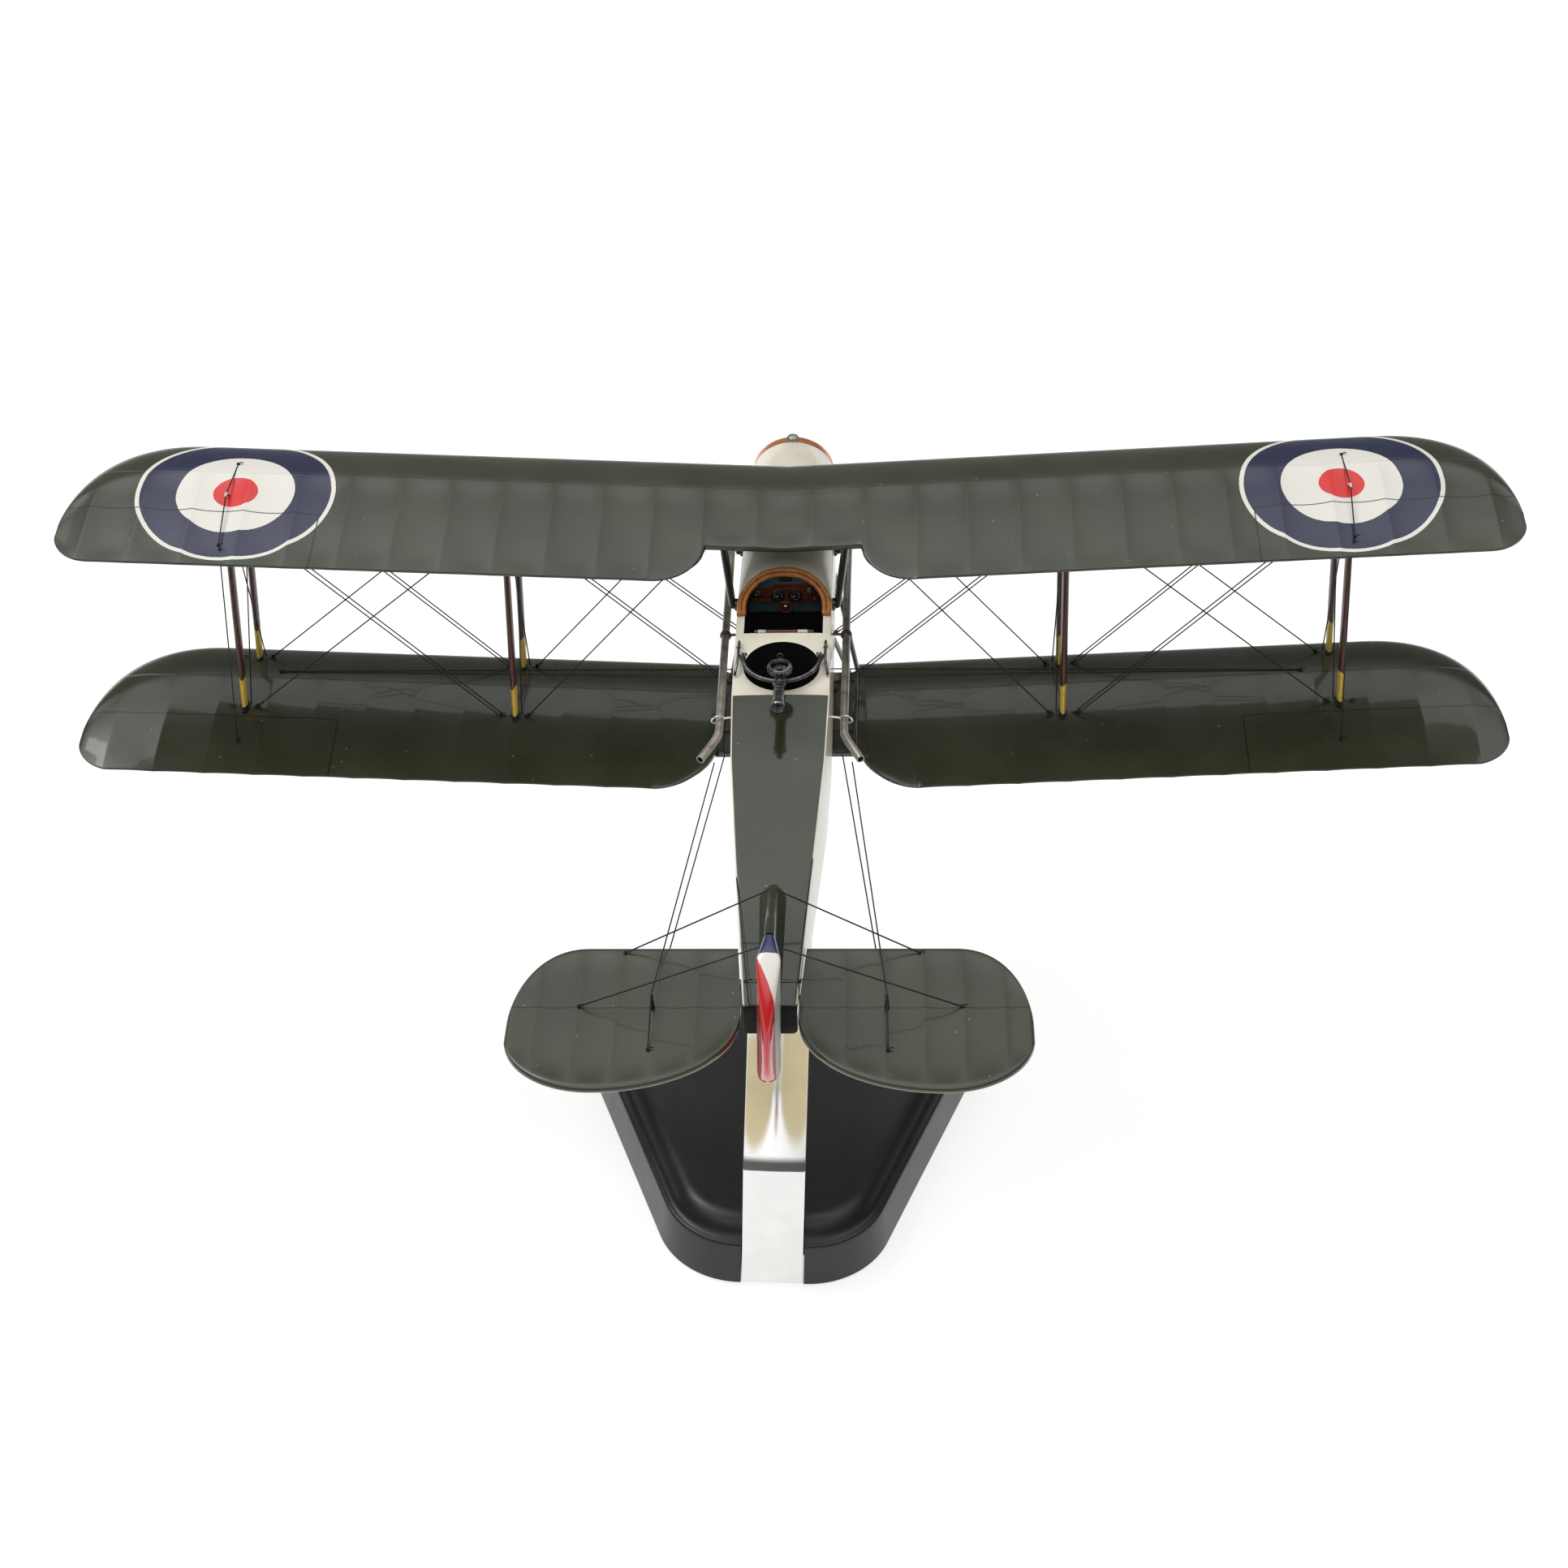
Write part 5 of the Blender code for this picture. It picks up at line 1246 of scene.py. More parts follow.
def along_gun(distance, height=0.0):
    """A point at this distance behind the pivot along the barrel, and this high above it."""
    y = GUN_Y - distance * cos(GUN_RISE) + height * sin(GUN_RISE)
    z = GUN_Z + distance * sin(GUN_RISE) + height * cos(GUN_RISE)
    return Vector((0.0, y, z))


def gun():
    """The barrel in its ribbed jacket, the receiver with its grip and sight, and the drum above."""
    back = (0.0, -cos(GUN_RISE), sin(GUN_RISE))
    jacket = [(5.2, 1.2), (5.4, 2.1), (6.3, 2.15), (6.6, 1.7), (12.0, 1.8), (18.6, 1.95), (18.8, 2.25)]
    jacket += [(19.9, 2.25), (20.4, 2.0), (20.3, 1.5), (19.4, 1.4), (19.3, 0.75), (21.9, 0.7), (22.0, 1.0)]
    jacket += [(23.2, 1.0), (23.4, 0.4)]
    shapes = [turned(along_gun(0.0, -0.2), back, jacket, 28)]
    for i in range(6):
        rib = along_gun(8.0 + 1.9 * i, -0.2)
        shapes.append(ring_bar(rib, back, 1.74, 0.12, 28, 6))
    receiver = slab((-1.25, GUN_Y - 6.4, GUN_Z - 1.2), (1.25, GUN_Y + 8.0, GUN_Z + 1.2), 0.35)
    lean = Matrix.Translation(Vector((0, GUN_Y, GUN_Z)))
    lean = lean @ Matrix.Rotation(-GUN_RISE, 4, "X") @ lean.inverted()
    bmesh.ops.transform(receiver, matrix=lean, verts=receiver.verts[:])
    shapes.append(receiver)
    grip = [along_gun(-8.2, -2.4), along_gun(-7.6, 0.0), along_gun(-8.0, 1.6)]
    shapes.append(tube(grip, [0.8, 0.7, 0.6], 12))
    shapes.append(tube([along_gun(-5.2, 1.0), along_gun(-5.2, 3.4)], [0.5, 0.3], 10))
    shapes.append(ring_bar(along_gun(-5.2, 4.0), (0, 1, 0), 0.9, 0.22, 20, 8))
    make_piece("gun_body", joined(*shapes), "gun", "gun_group", stands_for=("gun",),
               sharp=25.0)
    drum = [(0.0, 3.4), (0.2, 3.9), (1.9, 3.9), (2.3, 3.6), (2.4, 3.0), (1.9, 2.6), (0.7, 2.4), (0.6, 1.0)]
    drum += [(1.5, 0.9), (1.6, 0.3)]
    body = [turned((0, GUN_Y, GUN_Z + 1.5), (0, 0, 1), drum, 48)]
    for angle in angles_round(20):
        at = Vector((3.85 * cos(angle), GUN_Y + 3.85 * sin(angle), GUN_Z + 1.75))
        body.append(tube([at, at + Vector((0, 0, 1.7))], 0.34, 8))
    make_piece("drum_body", joined(*body), "gun", "gun_group", stands_for=("gun_drum",),
               sharp=30.0)


def hoop():
    """The steel half hoop, and its ends curled round the brackets' bars."""
    points = arc((0.0, HOOP_Y), HOOP_RADIUS, 0.0, -pi, 48)
    shapes = [tube([(x, y, HOOP_Z) for x, y in points], 0.78, 14)]
    for side in (1, -1):
        path = []
        for i in range(29):
            angle = 2.0 * pi * i / 14
            x = side * HOOP_RADIUS + side * (-1.0 + 2.0 * i / 28)
            path.append((x, HOOP_Y + 0.25 + 1.15 * cos(angle), HOOP_Z + 1.15 * sin(angle)))
        shapes.append(tube(path, 0.42, 10))
    shapes.append(turned((0, -99.6, 42.3), (0, 0, 1), ((0.0, 1.5), (0.2, 1.9), (2.0, 1.9), (2.2, 1.5)), 24))
    make_piece("hoop_bar", joined(*shapes), "gun", "hoop_group", stands_for=("gun_hoop",))


def bracket(side_name, side):
    """The thin bar on the deck's edge that an end of the hoop turns beside."""
    points = [(14.7, -76.2, 41.2), (14.7, -77.0, 42.6), (14.7, -78.6, 43.1), (14.7, -86.0, 43.3)]
    points += [(15.0, -90.2, 43.0), (15.4, -92.4, 42.2), (15.6, -93.4, 41.0)]
    path = smooth_path([(side * x, y, z) for x, y, z in points], 5)
    shapes = [tube(path, 0.5, 12)]
    shapes.append(ring_bar((side * 14.7, -81.0, 43.15), (0, 1, 0), 0.6, 0.2, 16, 6))
    name = "hoop_bracket_" + side_name
    make_piece(name + "_bar", joined(*shapes), "gun", stands_for=(name,))


# ---------------------------------------------------------------- engine


def exhaust(side_name, side):
    """A long pipe along the fuselage whose open end turns outwards, its strap and its bright clamp."""
    points = [(17.2, 38.0, 27.0), (19.6, 36.6, 27.0), (21.2, 33.6, 27.0), (21.5, 29.0, 27.0)]
    points += [(21.4, 0.0, 26.9), (21.2, -30.0, 26.8), (21.2, -60.0, 26.6), (21.1, -85.0, 26.4)]
    points += [(21.0, -104.0, 26.2), (21.5, -107.6, 26.1), (23.0, -111.4, 26.0), (26.6, -119.0, 25.8)]
    path = smooth_path([(side * x, y, z) for x, y, z in points], 8)
    shapes = [tube(path, EXHAUST_RADIUS, 24, caps=False)]
    end, before = path[-1], path[-3]
    inward = (before - end).normalized()
    lip = [circle(end, -inward, radius, 24) for radius in (EXHAUST_RADIUS, EXHAUST_BORE)]
    lip.append(circle(end + inward * 4.0, -inward, EXHAUST_BORE, 24))
    shapes.append(loft(lip, caps=False))
    name = "exhaust_" + side_name
    make_piece(name + "_pipe", joined(*shapes), "exhaust", stands_for=(name,))
    # A near-black plug just inside the open end: partly soot, partly painted shade for the pipe's depth.
    plug = turned(end + inward * 0.9, inward, ((0.0, 1.1), (0.5, 1.1)), 20)
    make_piece(name + "_bore", plug, "soot_and_shade")
    band = ((0.0, EXHAUST_RADIUS), (0.1, 2.0), (0.9, 2.0), (1.0, EXHAUST_RADIUS))
    strap = [turned((side * 21.15, -53.2, 26.65), (0, 1, 0), band, 24)]
    strap.append(tube([(side * 16.4, -52.7, 27.0), (side * 19.6, -52.7, 26.8)], 0.5, 10))
    make_piece(name + "_strap", joined(*strap), "rusty")
    hoop_at = Vector((side * 21.7, -99.5, 26.9))
    loop = ring_bar(hoop_at, (0.25 * side, 1.0, 0.35), 2.1, 0.32, 28, 10)
    stay = tube([(side * 16.4, -99.0, 27.6), (side * 20.0, -99.3, 27.3)], 0.35, 10)
    make_piece(name + "_clamp", joined(loop, stay), "bright")


def blade_ring(x, sign):
    """The propeller's section at x: flat behind, rounded ahead, and pitched more steeply at the root."""
    share = abs(x) / PROP_RADIUS
    width = 2.8 + 1.8 * sin(pi * min(0.86 * share, 0.86))
    width *= sqrt(max(1.0 - max(share - 0.86, 0.0) ** 2 / 0.0205, 0.03))
    thick = 2.9 * (1.0 - share) + 0.7
    pitch = atan2(0.24, share + 0.36) * sign
    ring = []
    for angle in angles_round(24):
        across = width * cos(angle)
        lift = sin(angle) * (0.86 + 0.14 * cos(angle))
        deep = 0.5 * thick * (lift if lift > 0.0 else 0.42 * lift)
        y = PROP_Y + deep * cos(pitch) - across * sin(pitch)
        z = THRUST_Z + deep * sin(pitch) + across * cos(pitch)
        ring.append((x, y, z))
    return ring


def propeller():
    """Two blades and their hub in one piece of wood, under a bright plate with six bolts."""
    centre = (0.0, PROP_Y, THRUST_Z)
    hub = ((-2.6, 4.4), (-2.3, 5.0), (2.2, 5.0), (2.6, 4.6), (2.65, 1.6))
    shapes = [turned(centre, (0, 1, 0), hub, 40)]
    shares = [0.02 + 0.84 * i / 21 for i in range(22)] + [0.89, 0.92, 0.95, 0.97, 0.985, 0.996]
    for side in (1, -1):
        shapes.append(loft([blade_ring(side * share * PROP_RADIUS, side) for share in shares]))
    make_piece("propeller_blades", joined(*shapes), "prop", "propeller_group",
               stands_for=("propeller",))
    cap = ((2.6, 3.8), (3.4, 3.8), (3.6, 3.5), (3.7, 2.0), (5.8, 2.0), (6.3, 1.6), (6.6, 0.3))
    plate = [turned(centre, (0, 1, 0), cap, 32)]
    for angle in angles_round(6):
        bolt = (2.9 * cos(angle), PROP_Y + 3.3, THRUST_Z + 2.9 * sin(angle))
        plate.append(turned(bolt, (0, 1, 0), ((0.0, 0.55), (0.9, 0.55), (1.0, 0.4)), 6))
    make_piece("boss_plate", joined(*plate), "bright", "propeller_group",
               stands_for=("propeller_boss",))


# ---------------------------------------------------------------- landing gear


def landing_gear(side_name, side):
    """Two legs down to the axle's end block, which is bound with cord."""
    block = Vector((side * 27.0, AXLE[0], AXLE[1]))
    shapes = []
    for y in (23.0, -17.0):
        belly = fuselage_values(y)[1]
        foot = Vector((side * 15.0, y, belly - 0.6))
        shapes.append(spindle(block + Vector((0.0, y * 0.05, 0.0)), foot, GEAR_SECTION))
    hub = ((-1.8, 1.4), (-1.75, 2.8), (-1.3, 3.0), (1.3, 3.0), (1.75, 2.8), (1.8, 1.4))
    shapes.append(turned(block, (1, 0, 0), hub, 24))
    for i in range(7):
        shapes.append(ring_bar(block + Vector((-1.2 + 0.4 * i, 0, 0)), (1, 0, 0), 3.05, 0.22, 24, 6))
    name = "gear_" + side_name
    make_piece(name + "_legs", joined(*shapes), "frame", stands_for=(name,))


def centre_plate(side_name, side):
    """Dark sheet under the gap between the fuselage and a lower wing's root."""
    low_x, high_x = sorted((side * 15.2, side * 25.8))
    sheet = slab((low_x, -70.9, -13.9), (high_x, -23.6, -13.1), 0.1)
    make_piece(f"centre_plate_{side_name}", sheet, "frame")


def wheel(side_name, side):
    """A coned cover and a tyre with a shallow tread."""
    body = f"wheel_{side_name}_group"
    centre = Vector((side * WHEEL_X, AXLE[0], AXLE[1]))
    half = [(2.6, 1.5), (2.5, 2.1), (2.0, 2.6), (0.95, 9.4), (0.9, 9.9), (0.6, 10.1)]
    profile = [(-along, radius) for along, radius in half] + half[::-1]
    cover = turned(centre, (1, 0, 0), profile, 64)
    make_piece(f"wheel_{side_name}_cover", cover, "cover", body,
               stands_for=(f"wheel_{side_name}",))
    rings = []
    for i in range(72):
        turn = Matrix.Rotation(2.0 * pi * i / 72, 3, "X")
        ring = []
        for k, angle in enumerate(angles_round(20)):
            tread = 0.12 * (abs(cos(angle)) < 0.5 and sin(angle) > 0) * (k % 2)
            radius = 12.7 + (2.3 - tread) * sin(angle)
            ring.append(centre + turn @ Vector((2.3 * cos(angle), 0.0, radius)))
        rings.append(ring)
    make_piece(f"tyre_{side_name}_ring", loft(rings, closed=True), "rubber", body,
               stands_for=(f"tyre_{side_name}",))


# ---------------------------------------------------------------- tail


TAIL_STEPS = (0.0, 0.003, 0.01, 0.02, 0.035, 0.06, 0.1, 0.18, 0.28, 0.4, 0.52, 0.64, 0.75, 0.84, 0.9)
TAIL_STEPS += (0.94, 0.965, 0.98, 0.99, 0.997, 1.0)


def tail_front(x):
    """Leading edge of a tailplane half at x."""
    inner = TAIL_END_Y + (x - 8.6) / 0.0792
    share = min(max((x - 56.0) / (TAIL_HALF - 56.0), 0.0), 1.0)
    swept = -240.4 + 37.6 * (1.0 - share ** (2.0 / 0.9)) ** (0.9 / 2.0)
    return min(inner, swept if x > 56.0 else -202.8)


def tail_back(x):
    """Trailing edge of a tailplane half at x: two quarter curves that meet at the elevator's widest."""
    if x < TAIL_CURVE_X:
        share = min(max((TAIL_CURVE_X - x) / 43.1, 0.0), 1.0)
        return -233.7 - 27.9 * sqrt(1.0 - share**2)
    share = min((x - TAIL_CURVE_X) / (TAIL_HALF - TAIL_CURVE_X), 1.0)
    return -240.4 - 21.2 * sqrt(1.0 - share**2)


def tail_ring(x, side):
    """The tailplane's section at x, flat with round edges and sagging between ribs."""
    front, back = tail_front(x), tail_back(x)
    length = front - back
    below = max([r for r in TAIL_RIBS if r <= x], default=TAIL_RIBS[0] - 12.0)
    above = min([r for r in TAIL_RIBS if r > x], default=82.0)
    sag = 1.0 - abs(2.0 * (x - below) / (above - below) - 1.0) ** 2.2
    ring = []
    for under in (False, True):
        for s in reversed(TAIL_STEPS[1:-1]) if under else TAIL_STEPS:
            y = front - s * length
            away = min(s * length, (1.0 - s) * length, 78.95 - x)
            height = sqrt(max(TAIL_EDGE**2 - max(TAIL_EDGE - away, 0.0) ** 2, 0.0004))
            inside = min(1.0, max(0.0, (away - 2.0) / 5.0))
            height -= 0.55 * sag * inside
            ring.append((side * x, y, TAIL_Z + (-height if under else height)))
    return ring


def tailplane(side_name, side):
    """Half of the tailplane and its elevator, in one piece."""
    marks = {TAIL_ROOT, 9.0, 9.4, 10.0, 10.6}
    for rib in TAIL_RIBS:
        marks |= {rib + offset for offset in RIB_OFFSETS if -5.0 < offset < 5.0}
    marks |= {TAIL_CURVE_X + 26.93 * sin(radians(a)) for a in range(0, 91, 3)}
    marks |= {TAIL_ROOT + 3.0 * i for i in range(15)}
    stations = sorted(x for x in marks if 8.74 <= x <= 78.94)
    rings = [tail_ring(x, side) for x in stations]
    name = "tailplane_" + side_name
    make_piece(name + "_skin", loft(rings), "tail", stands_for=(name,), sharp=50.0)


def upright_blade(outline, thick):
    """A thin upright surface with a round edge all the way round its outline of (y, z)."""
    centre_y = sum(y for y, _ in outline) / len(outline)
    centre_z = sum(z for _, z in outline) / len(outline)
    centre = Vector((centre_y, centre_z))
    rings = []
    for i in range(-5, 6):
        angle = 0.5 * pi * i / 5
        inset = 0.5 * thick * (1.0 - cos(angle))
        ring = []
        for y, z in outline:
            point = Vector((y, z))
            point = point + (centre - point).normalized() * inset
            ring.append((0.5 * thick * sin(angle), point.x, point.y))
        rings.append(ring)
    return loft(rings)


def fin():
    """The upright blade ahead of the rudder, and the fillet that carries it on the deck."""
    top = [(-187.0, 31.5), (-188.6, 34.4), (-192.0, 36.4), (-200.0, 40.2), (-209.0, 45.0), (-220.0, 49.8)]
    top.append((-228.2, 52.0))
    outline = [(p.x, p.y) for p in smooth_path([(y, z, 0.0) for y, z in top], 5)]
    outline += [(-228.2, 40.0), (-228.2, 30.0), (-228.2, 22.2)]
    outline += [(-216.0, 24.8), (-205.0, 27.2), (-194.0, 29.0)]
    blade = leaned(upright_blade(outline, 3.0))
    make_piece("fin_skin", blade, "tail", stands_for=("fin",))
    rings = []
    for i in range(25):
        share = i / 24
        y = -184.0 - 43.5 * share
        deck = fuselage_values(y)[3] - 0.5
        half = 4.7 * sqrt(min(1.0, share / 0.12)) * (1.0 - 0.25 * share)
        rise = 3.6 * sin(0.5 * pi * min(1.0, share / 0.14)) + 0.01
        ring = []
        for k in range(15):
            across = -1.0 + 2.0 * k / 14
            ring.append((max(half, 0.05) * across, y, deck + rise * (1.0 - abs(across) ** 1.3) ** 0.9))
        rings.append(ring)
    make_piece("fin_fillet", loft(rings), "tail")


def leaned(bm):
    """Turns the fin and rudder a little against the aircraft's roll, about the tailplane's level."""
    for vertex in bm.verts:
        vertex.co.x += FIN_LEAN * (vertex.co.z - TAIL_Z)
    return bm


def rudder_ring(turn):
    """The rudder's section at one height: thickest a third of the way back, with rounded ends."""
    z = RUDDER_MIDDLE_Z + RUDDER_RISE * sin(turn)
    front, back = -228.9, -232.0 - 24.0 * cos(turn)
    near_end = min(2.0, RUDDER_RISE + 0.05 - abs(z - RUDDER_MIDDLE_Z))
    cap = sqrt(1.0 - (1.0 - 0.5 * near_end) ** 2)
    half_side = []
    for i in range(21):
        share = 0.5 - 0.5 * cos(pi * i / 20)
        y = front + (back - front) * share
        depth = (front - y) / 27.0
        half = 1.8 + 5.6 * depth if depth < 0.32 else 3.6 - 2.6 * ((depth - 0.32) / 0.68) ** 1.3
        from_back = min(1.8, y - back)
        half *= cap * sqrt(max(1.0 - (1.0 - from_back / 1.8) ** 2, 0.0004))
        half_side.append((half, y, z))
    return half_side + [(-x, y, z) for x, y, _ in reversed(half_side)]


def rudder():
    """The striped rudder, the bar that its cables pull, and its hinges."""
    skin = loft([rudder_ring(radians(a)) for a in range(-86, 87, 4)])
    make_piece("rudder_skin", leaned(skin), "rudder", stands_for=("rudder",))
    bar = [tube([(x, HORN_Y, HORN_Z) for x in (-6.5, -3.0, 5.6, 9.1)], [0.5, 0.8, 0.8, 0.5], 12)]
    for x in (-6.4, 9.0):
        bar.append(ring_bar((x, HORN_Y, HORN_Z), (0, 0, 1), 0.8, 0.22, 16, 6))
    make_piece("rudder_horn", joined(*bar), "olive")
    hinges = []
    barrel = ((0.0, 1.0), (0.1, 1.5), (1.9, 1.5), (2.0, 1.0))
    for z in (26.0, 38.0, 47.0):
        x = FIN_LEAN * (z - TAIL_Z)
        hinges.append(turned((x, HINGE_Y - 0.05, z), (0, 0, 1), barrel, 16))
    make_piece("rudder_hinges", joined(*hinges), "dark")


# ---------------------------------------------------------------- stand


def base_outline(inset):
    """The base's rounded outline, wider ahead than behind, drawn in by the inset."""
    tilt = atan(BASE_SLOPE)
    points = arc((12.0, BASE_REAR_Y + REAR_CORNER), REAR_CORNER - inset, -0.5 * pi, -tilt, 28)
    corner_y = BASE_FRONT_Y - FRONT_CORNER
    side_x, side_y = points[-1]
    corner_x = side_x + (corner_y - side_y) * BASE_SLOPE - (FRONT_CORNER - inset) / cos(tilt)
    points += arc((corner_x, corner_y), FRONT_CORNER - inset, -tilt, 0.5 * pi, 28)
    return points + [(-x, y) for x, y in reversed(points)]


def base():
    """The moulded base: a nearly upright wall, a sharp moulding line, a cove and the plateau."""
    levels = [(0.0, 0.9), (0.25, 0.35), (0.8, 0.0), (6.0, 0.6), (12.0, 1.4), (17.4, 2.05), (18.2, 2.2)]
    levels += [(18.7, 2.45), (19.0, 2.9), (19.05, 3.6), (19.2, 4.6), (19.9, 5.6), (21.1, 6.6), (22.5, 7.8)]
    levels += [(23.7, 9.2), (24.5, 10.6), (24.9, 12.2), (25.0, 14.0)]
    rings = [[(x, y, z) for x, y in base_outline(inset)] for z, inset in levels]
    half = STRIP_HALF + 0.35
    slot = slab((-half, BASE_REAR_Y - 30.0, -5.0), (half, BASE_REAR_Y + 11.0, 30.0), 0.01, 1)
    recess = slab((-half, BASE_REAR_Y + 5.0, -5.0), (half, BASE_REAR_Y + 35.0, 3.4), 0.01, 1)
    cutters = [make_object("slot", slot, "base", False), make_object("recess", recess, "base", False)]
    piece = make_piece("base_moulding", loft(rings), "base", stands_for=("base",),
                       aircraft=False, sharp=35.0)
    cut_and_finish(piece, cutters, 0.2)


def strip_path():
    """The strip's outer face from the end of its foot to its pad under the belly, as (y, z)."""
    lean_angle, climb = radians(12.0), radians(38.0)
    rear_y, heel, bend, top_bend = BASE_REAR_Y - 1.0, 3.0, 12.0, 10.0
    lean = 0.5 * pi - lean_angle
    points = [(rear_y + 34.0, 0.3)]
    points += arc((rear_y + heel, 0.3 + heel), heel, -0.5 * pi, -pi - lean_angle, 12)
    heel_y, heel_z = points[-1]
    bend_y = heel_y + (STRIP_BEND_Z - heel_z) / tan(lean)
    centre = (bend_y + bend * sin(lean), STRIP_BEND_Z - bend * cos(lean))
    points += arc(centre, bend, 0.5 * pi + lean, 0.5 * pi + climb, 28)
    last_y, last_z = points[-1]
    top_z = PAD_Z - top_bend * (1.0 - cos(climb))
    top_y = last_y + (top_z - last_z) / tan(climb)
    top_centre = (top_y + top_bend * sin(climb), PAD_Z - top_bend)
    points += arc(top_centre, top_bend, 0.5 * pi + climb, 0.5 * pi, 16)
    points.append((points[-1][0] + 22.0, PAD_Z))
    return points


def strip():
    """The bent strip with its long edges eased."""
    path = strip_path()
    rings = []
    flat = STRIP_HALF - STRIP_EASE
    right = [(flat, 0.0), (STRIP_HALF - 0.10, 0.10), (STRIP_HALF, STRIP_EASE)]
    right += [(STRIP_HALF, STRIP_THICK - STRIP_EASE), (flat, STRIP_THICK)]
    section = right + [(-x, depth) for x, depth in reversed(right)]
    for i, point in enumerate(path):
        before, after = path[max(i - 1, 0)], path[min(i + 1, len(path) - 1)]
        along = (Vector(after) - Vector(before)).normalized()
        rings.append([(x, point[0] + along.y * depth, point[1] - along.x * depth) for x, depth in section])
    make_piece("stand_strip_bar", loft(rings), "strip",
               stands_for=("stand_strip",), aircraft=False, sharp=30.0)


# ---------------------------------------------------------------- carried-over nodes

KEPT = {
    "radiator_core": "cells",
    "lower_centre_frame": "frame",
    "axle": "steel",
    "axle_fairing": "olive",
    "tail_skid": "mahogany",
    "propeller_shaft": "steel",
    "gun_pintle": "gun",
    "base_screw_front": "steel",
    "base_screw_rear": "steel",
    "belly_screw_front": "steel",
    "belly_screw_rear": "steel",
}


def paint_kept_nodes():
    """Paints the nodes that no finer piece stands for."""
    for name, material in KEPT.items():
        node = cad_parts[name]
        node.data.materials.clear()
        node.data.materials.append(PAINTS[material])


# ---------------------------------------------------------------- camera, light and floor


def camera():
    """The camera above and behind the tail."""
    data = bpy.data.cameras.new("camera")
    data.lens = 59.07
    data.sensor_width = 36.0
    data.clip_start = 0.05
    data.clip_end = 20.0
    obj = bpy.data.objects.new("camera", data)
    obj.matrix_world = Matrix((
        (0.999502, -0.028034, 0.014464, 0.012711),
        (0.029292, 0.654574, -0.75543, -0.658044),
        (0.01171, 0.755478, 0.655069, 0.74588),
        (0.0, 0.0, 0.0, 1.0),
    ))
    bpy.context.scene.collection.objects.link(obj)
    bpy.context.scene.camera = obj


def area_light(name, at, towards, size, power):
    data = bpy.data.lights.new(name, "AREA")
    data.shape = "RECTANGLE"
    data.size, data.size_y = size
    data.energy = power
    obj = bpy.data.objects.new(name, data)
    obj.location = at
    obj.rotation_euler = (Vector(towards) - Vector(at)).to_track_quat("-Z", "Y").to_euler()
    bpy.context.scene.collection.objects.link(obj)


def sky():
    """White to the camera; for the object, bright overhead, dim low down and brighter to port."""
    world = bpy.data.worlds.new("studio")
    world.use_nodes = True
    nodes, links = world.node_tree.nodes, world.node_tree.links
    source = nodes.new("ShaderNodeTexCoord")
    parts = nodes.new("ShaderNodeSeparateXYZ")
    links.new(source.outputs["Generated"], parts.inputs[0])
    height = nodes.new("ShaderNodeMapRange")
    height.interpolation_type = "SMOOTHSTEP"
    for socket, value in (("From Min", 0.44), ("From Max", 0.92), ("To Min", 0.13), ("To Max", 1.45)):
        height.inputs[socket].default_value = value
    links.new(parts.outputs[2], height.inputs["Value"])
    lean = nodes.new("ShaderNodeMath")
    lean.operation = "MULTIPLY_ADD"
    lean.inputs[1].default_value = -0.25
    lean.inputs[2].default_value = 1.0
    links.new(parts.outputs[0], lean.inputs[0])
    strength = nodes.new("ShaderNodeMath")
    strength.operation = "MULTIPLY"
    links.new(height.outputs["Result"], strength.inputs[0])
    links.new(lean.outputs[0], strength.inputs[1])
    path = nodes.new("ShaderNodeLightPath")
    seen = nodes.new("ShaderNodeMath")
    seen.operation = "MAXIMUM"
    links.new(strength.outputs[0], seen.inputs[0])
    links.new(path.outputs["Is Camera Ray"], seen.inputs[1])
    background = nodes["Background"]
    background.inputs["Color"].default_value = (1.0, 1.0, 1.0, 1.0)
    links.new(seen.outputs[0], background.inputs["Strength"])
    bpy.context.scene.world = world


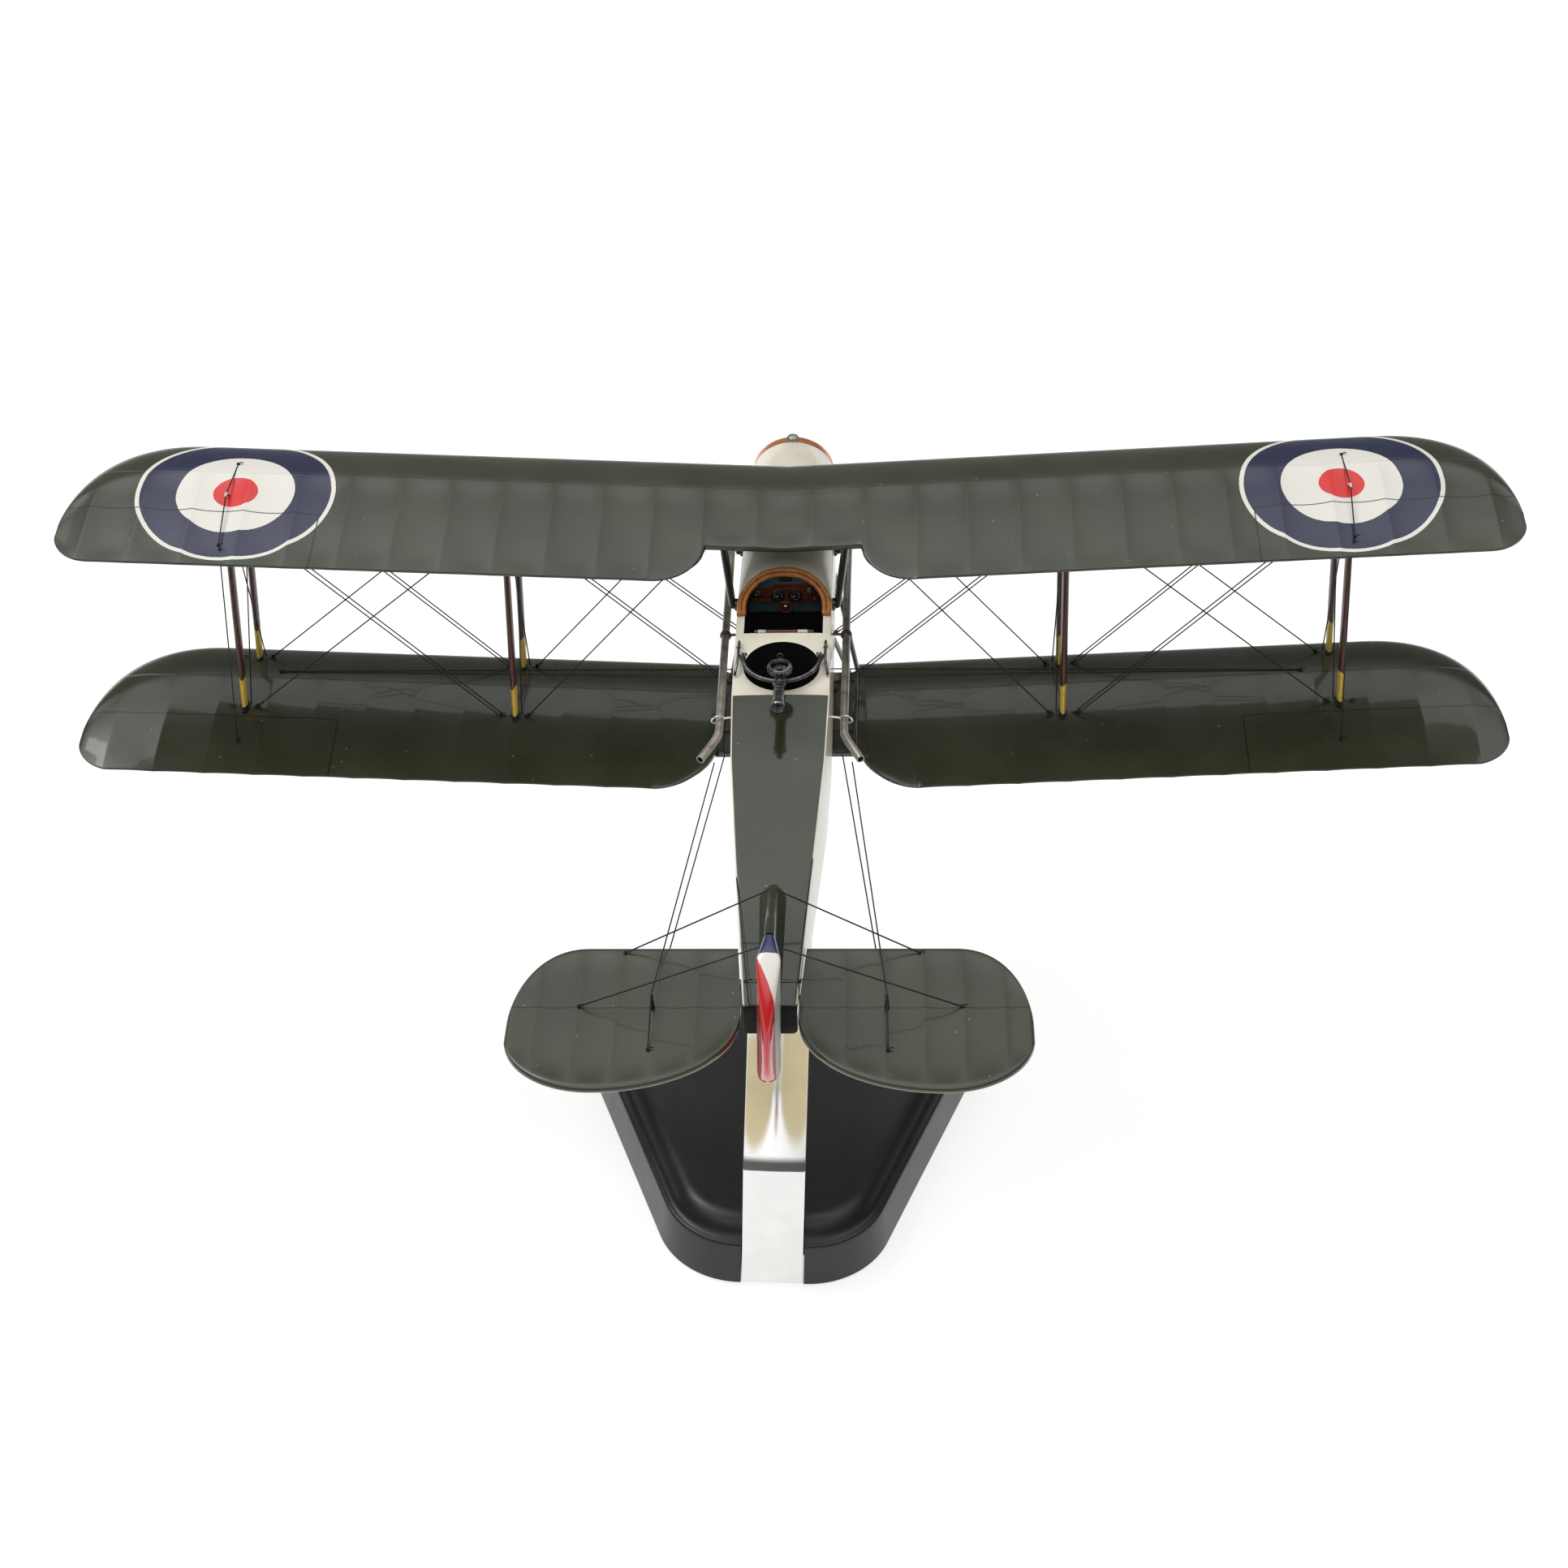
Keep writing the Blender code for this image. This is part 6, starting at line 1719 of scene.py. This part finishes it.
def ground():
    """A wide floor that glows a little, so that it stays white under the stand."""
    floor = bpy.data.meshes.new("floor")
    reach = 6.0
    corners = [(-reach, -reach, 0), (reach, -reach, 0), (reach, reach, 0), (-reach, reach, 0)]
    floor.from_pydata(corners, [], [(0, 1, 2, 3)])
    material = bpy.data.materials.new("floor")
    material.use_nodes = True
    shader = material.node_tree.nodes["Principled BSDF"]
    shader.inputs["Base Color"].default_value = (0.50, 0.50, 0.50, 1.0)
    shader.inputs["Roughness"].default_value = 0.9
    shader.inputs["Emission Color"].default_value = (1.0, 1.0, 1.0, 1.0)
    shader.inputs["Emission Strength"].default_value = 0.68
    floor.materials.append(material)
    obj = bpy.data.objects.new("floor", floor)
    bpy.context.scene.collection.objects.link(obj)


def studio():
    sky()
    area_light("key", (-0.9, 0.5, 1.5), (0.0, 0.0, 0.15), (0.7, 0.7), 7.0)
    ground()
    view = bpy.context.scene.view_settings
    view.view_transform = "Standard"
    view.look = "None"


def main():
    """Camera and light first, then the paired pieces, then those on the centre line."""
    camera()
    studio()
    upper_wing()
    for side_name, side in SIDES:
        lower_wing(side_name, side)
        for bay in STRUT_X:
            bay_threads(side_name, side, bay)
            for row in STRUT_AFT:
                interplane_strut(side_name, side, bay, row)
        for row in STRUT_AFT:
            cabane(side_name, side, row)
        control_threads(side_name, side)
        tail_threads(side_name, side)
        bracket(side_name, side)
        exhaust(side_name, side)
        landing_gear(side_name, side)
        centre_plate(side_name, side)
        wheel(side_name, side)
        tailplane(side_name, side)
    fuselage()
    nose()
    coaming()
    cockpit()
    gun()
    hoop()
    propeller()
    fin()
    rudder()
    base()
    strip()
    paint_kept_nodes()


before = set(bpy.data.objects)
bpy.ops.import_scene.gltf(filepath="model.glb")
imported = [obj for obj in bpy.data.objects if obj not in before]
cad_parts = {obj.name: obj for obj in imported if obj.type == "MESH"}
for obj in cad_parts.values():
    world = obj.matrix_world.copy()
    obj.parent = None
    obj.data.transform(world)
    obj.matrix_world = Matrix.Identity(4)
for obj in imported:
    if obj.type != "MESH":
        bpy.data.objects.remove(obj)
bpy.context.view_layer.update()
PAINTS = make_materials()
main()
